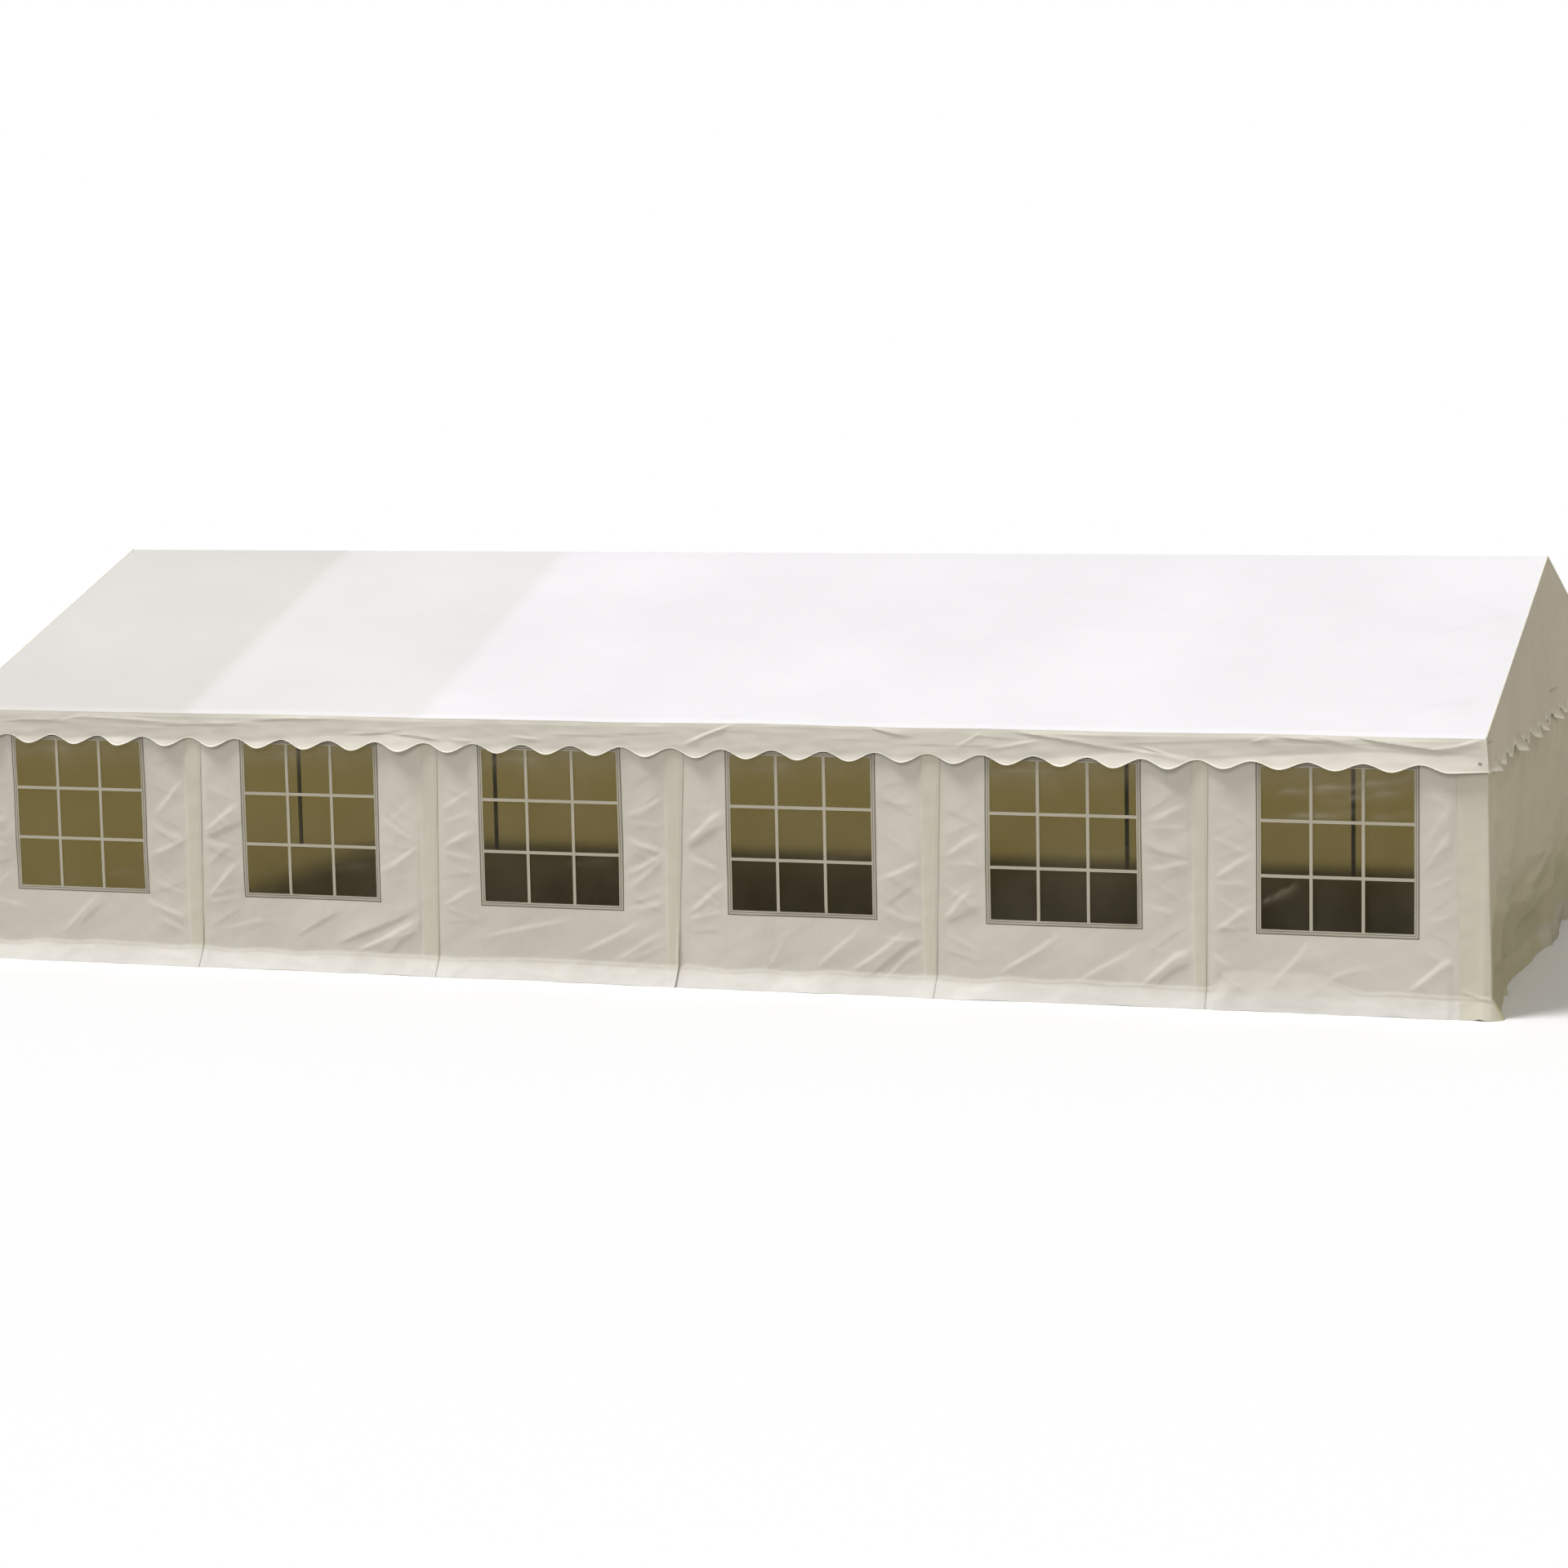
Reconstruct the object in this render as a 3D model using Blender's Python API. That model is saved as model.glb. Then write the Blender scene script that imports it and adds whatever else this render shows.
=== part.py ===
"""Marquee tent on a tube frame, six bays long, with one long side and one end walled.

The long sides run along X, the front is towards -Y, and the ground is at z = 0.
The frame is seven upright frames: two legs with foot plates and an inverted V of rafter
tube, tied by five lengthwise tubes that pass through sleeves on the rafters.
"""
import math

import bmesh
import bpy
from mathutils import Matrix, Vector

BAYS = 6
BAY_LENGTH = 2.0
WIDTH = 6.0
EAVE_HEIGHT = 2.0
RIDGE_HEIGHT = 3.03

SHEET = 0.008
GAP = 0.0003
SLACK = 0.002
ROUND_SIDES = 10

TUBE_RADIUS = 0.019
SLEEVE_RADIUS = 0.024
SOCKET_RADIUS = 0.0235
SLEEVE_REACH = 0.08
SLEEVE_END_REACH = 0.03
SOCKET_DEPTH = 0.1
RAFTER_SLEEVE = 0.11
BORE_CLEARANCE = 0.0004
JOINT_SHIFT = 0.002

FOOT_SIDE = 0.10
FOOT_THICKNESS = 0.006
PEG_HOLE_RADIUS = 0.006
PEG_HOLE_OFFSET = 0.034
PEG_HOLE_SIDES = 6

VALANCE_OUT = 0.02
VALANCE_DROP = 0.265
SCALLOP_DEPTH = 0.066
SCALLOP_PITCH = 0.4
SCALLOP_STEPS = 6

HEM_HEIGHT = 0.15
SIDE_HEM_OUT = 0.08
END_HEM_OUT = 0.08
WALL_TOP = 1.97
END_WALL_TOP = 1.95
END_WALL_OUT = 0.036
END_FLAP_OUT = 0.050

WINDOW_WIDTH = 1.17
WINDOW_SILL = 0.552
WINDOW_HEIGHT = 1.243
FILM = 0.003

# The origin is the middle of the ground rectangle that the whole tent covers, hems included.
FRAME_LENGTH = BAYS * BAY_LENGTH
FIRST_FRAME_X = -(FRAME_LENGTH + END_WALL_OUT + END_HEM_OUT - END_FLAP_OUT) / 2
MIDDLE_Y = (SIDE_HEM_OUT - VALANCE_OUT) / 2

EAVE_Y = WIDTH / 2 + VALANCE_OUT
SLOPE = (RIDGE_HEIGHT - EAVE_HEIGHT) / EAVE_Y
SLOPE_ANGLE = math.atan(SLOPE)
LEG_Y = WIDTH / 2 - SHEET - SLACK - SLEEVE_RADIUS
PURLIN_Y = LEG_Y / 2
RAFTER_DROP = (SHEET + GAP + SLEEVE_RADIUS) / math.cos(SLOPE_ANGLE)
UNDERSIDE_DROP = SHEET / math.cos(SLOPE_ANGLE)

COLOURS = {
    "roof_fabric": (0.86, 0.86, 0.84),
    "wall_fabric": (0.74, 0.71, 0.64),
    "window_film": (0.45, 0.46, 0.42),
    "steel_tube": (0.42, 0.43, 0.43),
}
ROUGHNESS = {"roof_fabric": 0.55, "wall_fabric": 0.6, "window_film": 0.15, "steel_tube": 0.4}


def clear_scene():
    for item in list(bpy.data.objects):
        bpy.data.objects.remove(item, do_unlink=True)


def frame_x(index):
    """The place along X of upright frame 0 to BAYS."""
    return FIRST_FRAME_X + index * BAY_LENGTH


def rafter_height(y):
    """The height of the rafter's middle line at a distance y from the ridge."""
    return RIDGE_HEIGHT - RAFTER_DROP - abs(y) * SLOPE


def underside_height(y):
    """The height of the roof sheet's underside at a distance y from the ridge."""
    return RIDGE_HEIGHT - UNDERSIDE_DROP - abs(y) * SLOPE


def material_of(slot, object_name):
    material = bpy.data.materials.new(object_name + "_" + slot)
    material.use_nodes = True
    shader = material.node_tree.nodes["Principled BSDF"]
    shader.inputs["Base Color"].default_value = (*COLOURS[slot], 1.0)
    shader.inputs["Roughness"].default_value = ROUGHNESS[slot]
    shader.inputs["Metallic"].default_value = 0.8 if slot == "steel_tube" else 0.0
    return material


def add_object(name, mesh_builder, slot, smooth=False):
    """Turn a finished bmesh into a named object, moved so that the origin is the plan's middle."""
    mesh = bpy.data.meshes.new(name)
    bmesh.ops.translate(mesh_builder, verts=mesh_builder.verts, vec=Vector((0.0, MIDDLE_Y, 0.0)))
    bmesh.ops.recalc_face_normals(mesh_builder, faces=mesh_builder.faces)
    mesh_builder.to_mesh(mesh)
    mesh_builder.free()
    if smooth:
        mesh.shade_smooth()
        mesh.set_sharp_from_angle(angle=math.radians(40))
    item = bpy.data.objects.new(name, mesh)
    item.data.materials.append(material_of(slot, name))
    bpy.context.scene.collection.objects.link(item)
    return item


def add_rod(builder, start, end, radius, sides=ROUND_SIDES):
    """A closed round bar from start to end."""
    start = Vector(start)
    along = Vector(end) - start
    turn = along.to_track_quat("Z", "Y").to_matrix().to_4x4()
    place = Matrix.Translation(start + along / 2) @ turn
    bmesh.ops.create_cone(
        builder, cap_ends=True, segments=sides, radius1=radius, radius2=radius,
        depth=along.length, matrix=place)


def add_block(builder, low, high):
    """A box between two corners."""
    low = Vector(low)
    high = Vector(high)
    size = high - low
    place = Matrix.Translation((low + high) / 2) @ Matrix.Diagonal((*size, 1.0))
    bmesh.ops.create_cube(builder, size=1.0, matrix=place)


def add_prism(builder, outline, depth_axis, low, high):
    """A flat outline of (u, v) points drawn out along an axis.

    Along X the outline is (y, z), and along Y it is (x, z).
    """
    def corner(u, v, along):
        return (along, u, v) if depth_axis == "X" else (u, along, v)
    near = [builder.verts.new(corner(u, v, low)) for u, v in outline]
    far = [builder.verts.new(corner(u, v, high)) for u, v in outline]
    count = len(outline)
    builder.faces.new(near)
    builder.faces.new(far)
    for index in range(count):
        following = (index + 1) % count
        builder.faces.new((near[index], near[following], far[following], far[index]))


def solid_of(fill, *values):
    """An object outside the model that holds one shape, for a Boolean."""
    builder = bmesh.new()
    fill(builder, *values)
    bmesh.ops.recalc_face_normals(builder, faces=builder.faces)
    mesh = bpy.data.meshes.new("shape")
    builder.to_mesh(mesh)
    builder.free()
    item = bpy.data.objects.new("shape", mesh)
    bpy.context.scene.collection.objects.link(item)
    return item


def combine(shapes, cutters):
    """Join the shapes into one body, take the cutters out, and give the result as a bmesh."""
    base = shapes[0]
    for kind, others in (("UNION", shapes[1:]), ("DIFFERENCE", cutters)):
        for other in others:
            change = base.modifiers.new(kind, "BOOLEAN")
            change.operation = kind
            change.solver = "EXACT"
            change.object = other
    bpy.context.view_layer.update()
    evaluated = base.evaluated_get(bpy.context.evaluated_depsgraph_get())
    builder = bmesh.new()
    builder.from_mesh(evaluated.to_mesh())
    evaluated.to_mesh_clear()
    for item in [*shapes, *cutters]:
        bpy.data.objects.remove(item, do_unlink=True)
    return builder


def leg(name, index, side):
    """A leg tube on its foot plate, with two peg holes in the plate."""
    x = frame_x(index)
    y = side * LEG_Y
    top = rafter_height(LEG_Y) - SOCKET_DEPTH - GAP
    half = FOOT_SIDE / 2
    tube = solid_of(add_rod, (x, y, FOOT_THICKNESS / 2), (x, y, top), TUBE_RADIUS)
    plate = solid_of(add_block, (x - half, y - half, 0.0), (x + half, y + half, FOOT_THICKNESS))
    holes = [
        solid_of(
            add_rod, (x + step, y + step, -FOOT_THICKNESS), (x + step, y + step, 2 * FOOT_THICKNESS),
            PEG_HOLE_RADIUS, PEG_HOLE_SIDES)
        for step in (-PEG_HOLE_OFFSET, PEG_HOLE_OFFSET)]
    add_object(name, combine([plate, tube], holes), "steel_tube", smooth=True)


def sleeve_span(index):
    """How far a frame's sleeves reach to each side of it: less at an outer end."""
    x = frame_x(index)
    left = SLEEVE_END_REACH if index == 0 else SLEEVE_REACH
    right = SLEEVE_END_REACH if index == BAYS else SLEEVE_REACH
    return x - left, x + right


def tube_lines():
    """The lengthwise tubes by name, as the distance from the ridge of each."""
    return {
        "ridge_tube": 0.0,
        "purlin_front": -PURLIN_Y,
        "purlin_rear": PURLIN_Y,
        "eave_tube_front": -LEG_Y,
        "eave_tube_rear": LEG_Y,
    }


def add_stepped_rod(builder, start, run, steps):
    """A closed round bar along run, whose radius at each distance is given by steps."""
    turn = Vector(run).to_track_quat("Z", "Y").to_matrix()
    rings = []
    for distance, radius in steps:
        ring = []
        for corner in range(ROUND_SIDES):
            angle = 2 * math.pi * (corner + 0.5) / ROUND_SIDES
            spoke = Vector((radius * math.cos(angle), radius * math.sin(angle), distance))
            ring.append(builder.verts.new(Vector(start) + turn @ spoke))
        rings.append(ring)
    for near, far in zip(rings, rings[1:]):
        for corner in range(ROUND_SIDES):
            following = (corner + 1) % ROUND_SIDES
            builder.faces.new((near[corner], near[following], far[following], far[corner]))
    builder.faces.new(rings[0])
    builder.faces.new(rings[-1])


def rafter_steps():
    """Distance and radius along one rafter: thick at its ends and at the middle connector."""
    length = LEG_Y / math.cos(SLOPE_ANGLE)
    middle = length / 2
    swaps = [RAFTER_SLEEVE, middle - RAFTER_SLEEVE, middle + RAFTER_SLEEVE, length - RAFTER_SLEEVE]
    steps = [(JOINT_SHIFT, SLEEVE_RADIUS)]
    for number, distance in enumerate(swaps):
        pair = [(distance, SLEEVE_RADIUS), (distance, TUBE_RADIUS)]
        steps += pair if number % 2 == 0 else pair[::-1]
    return steps + [(length + JOINT_SHIFT, SLEEVE_RADIUS)]


def rafter(name, index):
    """The inverted V with its ridge, mid-slope and eave connectors, bored for the long tubes."""
    x = frame_x(index)
    left, right = sleeve_span(index)
    apex = Vector((x, 0.0, rafter_height(0.0)))
    shapes = []
    cutters = []
    for side in (-1, 1):
        run = (0.0, side * math.cos(SLOPE_ANGLE), -math.sin(SLOPE_ANGLE))
        shapes.append(solid_of(add_stepped_rod, apex, run, rafter_steps()))
        top = rafter_height(LEG_Y)
        socket = [(-JOINT_SHIFT * 2, SOCKET_RADIUS), (SOCKET_DEPTH, SOCKET_RADIUS)]
        shapes.append(solid_of(add_stepped_rod, (x, side * LEG_Y, top), (0.0, 0.0, -1.0), socket))
    for y in tube_lines().values():
        z = rafter_height(y)
        shapes.append(solid_of(add_rod, (left, y, z), (right, y, z), SLEEVE_RADIUS))
        cutters.append(solid_of(
            add_rod, (left - SLEEVE_REACH, y, z), (right + SLEEVE_REACH, y, z),
            TUBE_RADIUS + BORE_CLEARANCE))
    add_object(name, combine(shapes, cutters), "steel_tube", smooth=True)


def long_tube(name, y):
    """A tube from one end of the frame to the other."""
    left = sleeve_span(0)[0]
    right = sleeve_span(BAYS)[1]
    builder = bmesh.new()
    add_rod(builder, (left, y, rafter_height(y)), (right, y, rafter_height(y)), TUBE_RADIUS)
    add_object(name, builder, "steel_tube", smooth=True)


def roof_slope(name, side):
    """One slope of the roof sheet, from just beside the ridge line to the eave."""
    inner = side * GAP / 2
    outer = side * EAVE_Y
    outline = [
        (inner, RIDGE_HEIGHT), (outer, EAVE_HEIGHT),
        (outer, underside_height(EAVE_Y)), (inner, underside_height(0.0))]
    builder = bmesh.new()
    add_prism(builder, outline, "X", frame_x(0) - END_FLAP_OUT, frame_x(BAYS) + END_FLAP_OUT)
    add_object(name, builder, "roof_fabric")


def scalloped_edge(low, high, centre):
    """Points (u, z) along a wavy lower edge from low to high.

    The edge is a cosine of the scallop pitch, with its high points at whole pitches from centre.
    """
    step = SCALLOP_PITCH / SCALLOP_STEPS
    first = math.ceil((low - centre) / step + 0.25)
    last = math.floor((high - centre) / step - 0.25)
    stations = [low] + [centre + index * step for index in range(first, last + 1)] + [high]
    middle = EAVE_HEIGHT - VALANCE_DROP + SCALLOP_DEPTH / 2
    return [
        (u, middle + SCALLOP_DEPTH / 2 * math.cos(2 * math.pi * (u - centre) / SCALLOP_PITCH))
        for u in stations]


def valance(name, side):
    """The scalloped strip that hangs from an eave, with a valley of its edge at every leg."""
    low = frame_x(0) - END_FLAP_OUT
    high = frame_x(BAYS) + END_FLAP_OUT
    top = underside_height(EAVE_Y) - GAP
    outline = scalloped_edge(low, high, frame_x(0)) + [(high, top), (low, top)]
    builder = bmesh.new()
    add_prism(builder, outline, "Y", side * (EAVE_Y - SHEET), side * EAVE_Y)
    add_object(name, builder, "roof_fabric")


def gable(name, side):
    """The triangular end flap of the roof sheet, scalloped below the eave line."""
    half = EAVE_Y - SHEET - GAP
    outline = scalloped_edge(-half, half, SCALLOP_PITCH / 2)
    outline += [(half, underside_height(half) - GAP)]
    outline += [(0.0, underside_height(0.0) - GAP)]
    outline += [(-half, underside_height(half) - GAP)]
    frame = frame_x(BAYS) if side > 0 else frame_x(0)
    builder = bmesh.new()
    add_prism(builder, outline, "X", frame + side * (END_FLAP_OUT - SHEET), frame + side * END_FLAP_OUT)
    add_object(name, builder, "roof_fabric")


def hemmed_profile(face, outward, hem_out, top):
    """Section of a hanging wall sheet whose lowest stretch slants out to the ground."""
    slant = math.atan2(hem_out, HEM_HEIGHT)
    inner = face - outward * SHEET
    fold = HEM_HEIGHT + SHEET * math.tan(slant / 2)
    toe = face + outward * hem_out
    heel = toe - outward * SHEET / math.cos(slant)
    return [(face, top), (face, HEM_HEIGHT), (toe, 0.0), (heel, 0.0), (inner, fold), (inner, top)]


def window_span(bay):
    """The window's left and right edges in a bay."""
    middle = frame_x(bay) + BAY_LENGTH / 2
    return middle - WINDOW_WIDTH / 2, middle + WINDOW_WIDTH / 2


def wall_panel(name, bay):
    """A front wall panel of one bay, with its window cut through."""
    low = frame_x(bay) + GAP / 2
    high = frame_x(bay + 1) - GAP / 2
    if bay == 0:
        low = frame_x(0) - END_WALL_OUT
    if bay == BAYS - 1:
        high = frame_x(BAYS) + END_WALL_OUT
    profile = hemmed_profile(-WIDTH / 2, -1, SIDE_HEM_OUT, WALL_TOP)
    panel = solid_of(add_prism, profile, "X", low, high)
    left, right = window_span(bay)
    window_top = WINDOW_SILL + WINDOW_HEIGHT
    cutter = solid_of(
        add_block, (left, -WIDTH / 2 - SHEET, WINDOW_SILL), (right, -WIDTH / 2 + 2 * SHEET, window_top))
    add_object(name, combine([panel], [cutter]), "wall_fabric")


def window_film(name, bay):
    """The clear film that fills a window."""
    left, right = window_span(bay)
    middle = -WIDTH / 2 + SHEET / 2
    low = (left + GAP, middle - FILM / 2, WINDOW_SILL + GAP)
    high = (right - GAP, middle + FILM / 2, WINDOW_SILL + WINDOW_HEIGHT - GAP)
    builder = bmesh.new()
    add_block(builder, low, high)
    add_object(name, builder, "window_film")


def end_wall(name, side):
    """Half of the closed end wall, from the middle of the width to one corner."""
    face = frame_x(BAYS) + END_WALL_OUT
    outline = hemmed_profile(face, 1, END_HEM_OUT, END_WALL_TOP)
    corner = WIDTH / 2 - SHEET - GAP if side < 0 else WIDTH / 2
    low, high = sorted((side * GAP / 2, side * corner))
    builder = bmesh.new()
    add_prism(builder, outline, "Y", low, high)
    add_object(name, builder, "wall_fabric")


def build():
    clear_scene()
    for index in range(BAYS + 1):
        leg(f"leg_front_{index + 1}", index, -1)
        leg(f"leg_rear_{index + 1}", index, 1)
        rafter(f"rafter_{index + 1}", index)
    for name, y in tube_lines().items():
        long_tube(name, y)
    roof_slope("roof_front", -1)
    roof_slope("roof_rear", 1)
    valance("valance_front", -1)
    valance("valance_rear", 1)
    gable("gable_left", -1)
    gable("gable_right", 1)
    for bay in range(BAYS):
        wall_panel(f"wall_panel_{bay + 1}", bay)
        window_film(f"window_film_{bay + 1}", bay)
    end_wall("end_wall_front", -1)
    end_wall("end_wall_rear", 1)


build()
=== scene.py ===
"""Marquee tent: cloth, windows, steel finish, floor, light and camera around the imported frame.

The long sides run along X, the front is towards -Y and the ground is at z = 0.
"""
import math

import bpy
import numpy as np
from bpy.props import FloatProperty, FloatVectorProperty, IntProperty, PointerProperty
from mathutils import Matrix, Vector


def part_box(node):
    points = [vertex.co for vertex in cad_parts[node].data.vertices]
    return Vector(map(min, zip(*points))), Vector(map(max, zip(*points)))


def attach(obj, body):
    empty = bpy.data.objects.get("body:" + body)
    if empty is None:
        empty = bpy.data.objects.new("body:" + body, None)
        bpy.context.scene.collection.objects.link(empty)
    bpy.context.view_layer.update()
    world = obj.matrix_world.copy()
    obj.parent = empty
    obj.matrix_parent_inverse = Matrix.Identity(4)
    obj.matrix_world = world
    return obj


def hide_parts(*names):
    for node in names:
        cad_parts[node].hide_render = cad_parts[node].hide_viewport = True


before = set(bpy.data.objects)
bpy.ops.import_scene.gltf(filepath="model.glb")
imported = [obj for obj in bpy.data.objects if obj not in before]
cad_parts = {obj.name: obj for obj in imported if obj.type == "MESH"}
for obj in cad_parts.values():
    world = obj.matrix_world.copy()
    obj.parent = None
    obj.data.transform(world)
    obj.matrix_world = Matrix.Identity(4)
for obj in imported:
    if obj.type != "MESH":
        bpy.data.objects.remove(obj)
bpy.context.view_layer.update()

bl_info = {
    "name": "Marquee tent",
    "version": (1, 0, 0),
    "blender": (4, 5, 0),
    "location": "3D View > Sidebar > Marquee",
    "description": "Hangs the cloth and the windows on the tube frame of a marquee tent",
    "category": "Add Mesh",
}

BODY = "root"


def low(node):
    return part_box(node)[0]


def high(node):
    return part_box(node)[1]


def middle(node):
    return (low(node) + high(node)) / 2


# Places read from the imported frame.
BAYS = sum(name.startswith("wall_panel_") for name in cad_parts)
LEG_X = [middle(f"leg_front_{index + 1}").x for index in range(BAYS + 1)]
BAY_LENGTH = LEG_X[1] - LEG_X[0]
SOLID_CLOTH = high("gable_right").x - low("gable_right").x
LEFT_X = low("roof_front").x
RIGHT_X = high("roof_front").x
RIDGE_Y = (high("roof_front").y + low("roof_rear").y) / 2
RIDGE_Z = high("roof_front").z
EAVE_FRONT_Y = low("roof_front").y
EAVE_REAR_Y = high("roof_rear").y
HALF_WIDTH = (EAVE_REAR_Y - EAVE_FRONT_Y) / 2
SLOPE_ANGLE = math.atan2(RIDGE_Z - low("roof_front").z, HALF_WIDTH)
EAVE_Z = low("roof_front").z + SOLID_CLOTH / math.cos(SLOPE_ANGLE)
SLOPE = (RIDGE_Z - EAVE_Z) / HALF_WIDTH
WALL_Y = middle("window_film_1").y - SOLID_CLOTH / 2
WALL_TOP = high("wall_panel_1").z
END_X = high("end_wall_front").x - 0.08
END_TOP = high("end_wall_front").z
REAR_WALL_Y = high("end_wall_rear").y
WINDOW_LEFT = low("window_film_1").x - LEG_X[0]
WINDOW_RIGHT = high("window_film_1").x - LEG_X[0]
WINDOW_SILL = low("window_film_1").z
WINDOW_TOP = high("window_film_1").z
EDGE_TIP = low("valance_front").z
EDGE_VALLEY = EDGE_TIP + 0.066
SCALLOP_PITCH = 0.4

# Creases of each front bay: start and end as distance from the bay's left leg and height, then
# how far the ridge stands out.
BAY_CREASES = [
    [
        (1.92, 1.48, 1.64, 1.18, 0.010), (1.93, 1.00, 1.60, 0.87, 0.008),
        (1.92, 0.98, 1.60, 1.12, 0.006), (1.89, 0.37, 1.52, 0.53, 0.008),
        (1.88, 0.26, 1.66, 0.40, 0.007), (0.78, 0.22, 1.14, 0.53, 0.007),
        (0.96, 0.28, 1.22, 0.50, -0.005), (0.09, 1.02, 0.38, 1.14, 0.008),
        (0.09, 0.98, 0.38, 0.88, 0.006), (0.10, 0.50, 0.52, 0.40, 0.005),
    ],
    [
        (0.09, 1.08, 0.41, 1.29, 0.012), (0.10, 1.02, 0.44, 1.14, -0.009),
        (0.09, 1.00, 0.40, 0.92, 0.006), (0.08, 0.55, 0.39, 0.84, 0.010),
        (0.09, 0.52, 0.40, 0.56, 0.005), (1.92, 1.00, 1.59, 0.80, 0.009),
        (1.92, 1.02, 1.60, 1.22, 0.006), (0.84, 0.26, 1.28, 0.48, -0.007),
        (1.18, 0.19, 1.89, 0.50, -0.010), (1.34, 0.16, 1.91, 0.43, 0.012),
        (1.62, 0.15, 1.90, 0.36, -0.007), (0.20, 0.30, 0.70, 0.40, 0.004),
    ],
    [
        (1.92, 1.42, 1.61, 1.27, 0.008), (1.92, 0.99, 1.60, 1.13, 0.009),
        (1.93, 1.00, 1.60, 0.84, 0.010), (1.92, 0.97, 1.60, 0.72, 0.007),
        (1.92, 0.62, 1.61, 0.58, 0.006), (0.10, 1.30, 0.39, 1.45, 0.007),
        (0.09, 1.00, 0.39, 1.14, 0.009), (0.09, 0.98, 0.39, 0.90, 0.006),
        (0.09, 0.56, 0.40, 0.70, 0.007), (0.40, 0.30, 1.20, 0.50, 0.006),
        (1.20, 0.20, 1.75, 0.50, 0.007), (1.50, 0.18, 1.90, 0.40, 0.006),
    ],
    [
        (0.09, 1.10, 0.40, 1.34, 0.012), (0.10, 1.05, 0.41, 1.23, -0.008),
        (0.10, 1.00, 0.40, 0.86, 0.008), (0.09, 0.56, 0.41, 0.80, 0.010),
        (0.09, 0.52, 0.42, 0.58, 0.005), (1.92, 0.99, 1.58, 0.86, 0.009),
        (1.93, 0.53, 1.59, 0.67, 0.007), (0.72, 0.17, 0.88, 0.44, 0.004),
        (1.10, 0.17, 1.46, 0.51, 0.008), (1.36, 0.16, 1.82, 0.48, 0.010),
        (1.50, 0.13, 1.93, 0.44, -0.008), (1.63, 0.12, 1.92, 0.38, 0.008),
    ],
    [
        (0.09, 1.05, 0.38, 1.22, 0.009), (0.09, 1.02, 0.39, 0.97, 0.005),
        (0.08, 0.58, 0.34, 0.84, 0.010), (0.09, 0.55, 0.40, 0.68, -0.006),
        (1.92, 1.48, 1.60, 1.34, 0.009), (1.91, 1.07, 1.59, 1.17, -0.007),
        (1.92, 1.05, 1.60, 1.00, 0.006), (1.82, 0.67, 1.60, 0.75, 0.005),
        (0.50, 0.18, 0.97, 0.50, 0.009), (1.10, 0.15, 1.55, 0.43, 0.007),
        (1.56, 0.15, 1.93, 0.44, 0.013), (1.68, 0.15, 1.92, 0.34, -0.008),
    ],
    [
        (0.07, 0.44, 0.24, 0.28, 0.008), (0.10, 0.96, 0.40, 1.12, 0.009),
        (0.10, 0.93, 0.40, 0.90, 0.005), (0.10, 0.57, 0.40, 0.76, 0.008),
        (1.61, 1.22, 1.83, 1.55, 0.004), (1.60, 1.04, 1.86, 1.38, 0.005),
        (0.52, 0.17, 0.83, 0.55, 0.006), (1.50, 0.19, 1.84, 0.44, 0.012),
        (0.90, 0.24, 1.25, 0.36, 0.004),
    ],
]

# Long creases of the valance: start and end as distance from the first leg and share of the drop.
VALANCE_CREASES = [
    (0.34, 0.37, 0.94, 0.24, -0.004), (0.86, 0.25, 1.14, 0.10, 0.004),
    (1.02, 0.14, 1.98, 0.25, 0.006), (2.10, 0.24, 2.62, 0.21, 0.004),
    (2.50, 0.21, 3.38, 0.02, -0.005), (3.32, 0.58, 3.84, 0.38, -0.007),
    (3.70, 0.46, 4.18, 0.69, -0.008), (4.20, 0.57, 4.40, 0.66, 0.006),
    (4.70, 0.47, 4.98, 0.54, 0.005), (5.70, 0.05, 5.95, 0.12, 0.004),
    (6.50, -0.02, 6.08, 0.64, 0.011), (7.50, 0.00, 7.88, 0.28, -0.008),
    (8.42, 0.02, 8.20, 0.58, 0.005), (8.62, 0.05, 9.40, 0.50, -0.009),
    (8.42, 0.55, 8.88, 0.27, 0.005), (9.34, 0.40, 9.94, 0.72, 0.007),
    (9.58, 0.37, 9.98, 0.76, 0.007), (10.38, 0.23, 10.53, 0.03, 0.005),
    (10.49, 0.03, 11.14, 0.28, -0.006), (10.70, -0.02, 11.10, 0.24, -0.006),
    (11.06, 0.00, 11.84, 0.41, -0.011), (11.62, 0.36, 11.90, 0.14, 0.006),
    (11.84, 0.20, 12.08, -0.08, 0.007),
]
FLIP_AT = (0.0, 1.0, 1.4, 1.8, 2.6, 3.3, 3.7, 4.2, 4.4, 6.0, 8.8, 9.1, 9.6, 9.95, 10.1, 10.6, 11.3, 12.1)
FLIP_SIZE = (0.3, 0.3, 0.8, 0.3, 0.4, 0.5, 1.0, 0.5, 0.2, 0.25, 0.2, 0.7, 1.0, 0.6, 0.5, 1.0, 1.0, 0.5)
FLIP_LINE = (0.8, 0.8, 0.75, 0.8, 0.8, 0.57, 0.4, 0.68, 0.85, 0.85, 0.85, 0.72, 0.53, 0.72, 0.71, 0.58, 0.42, 0.48)
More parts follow.
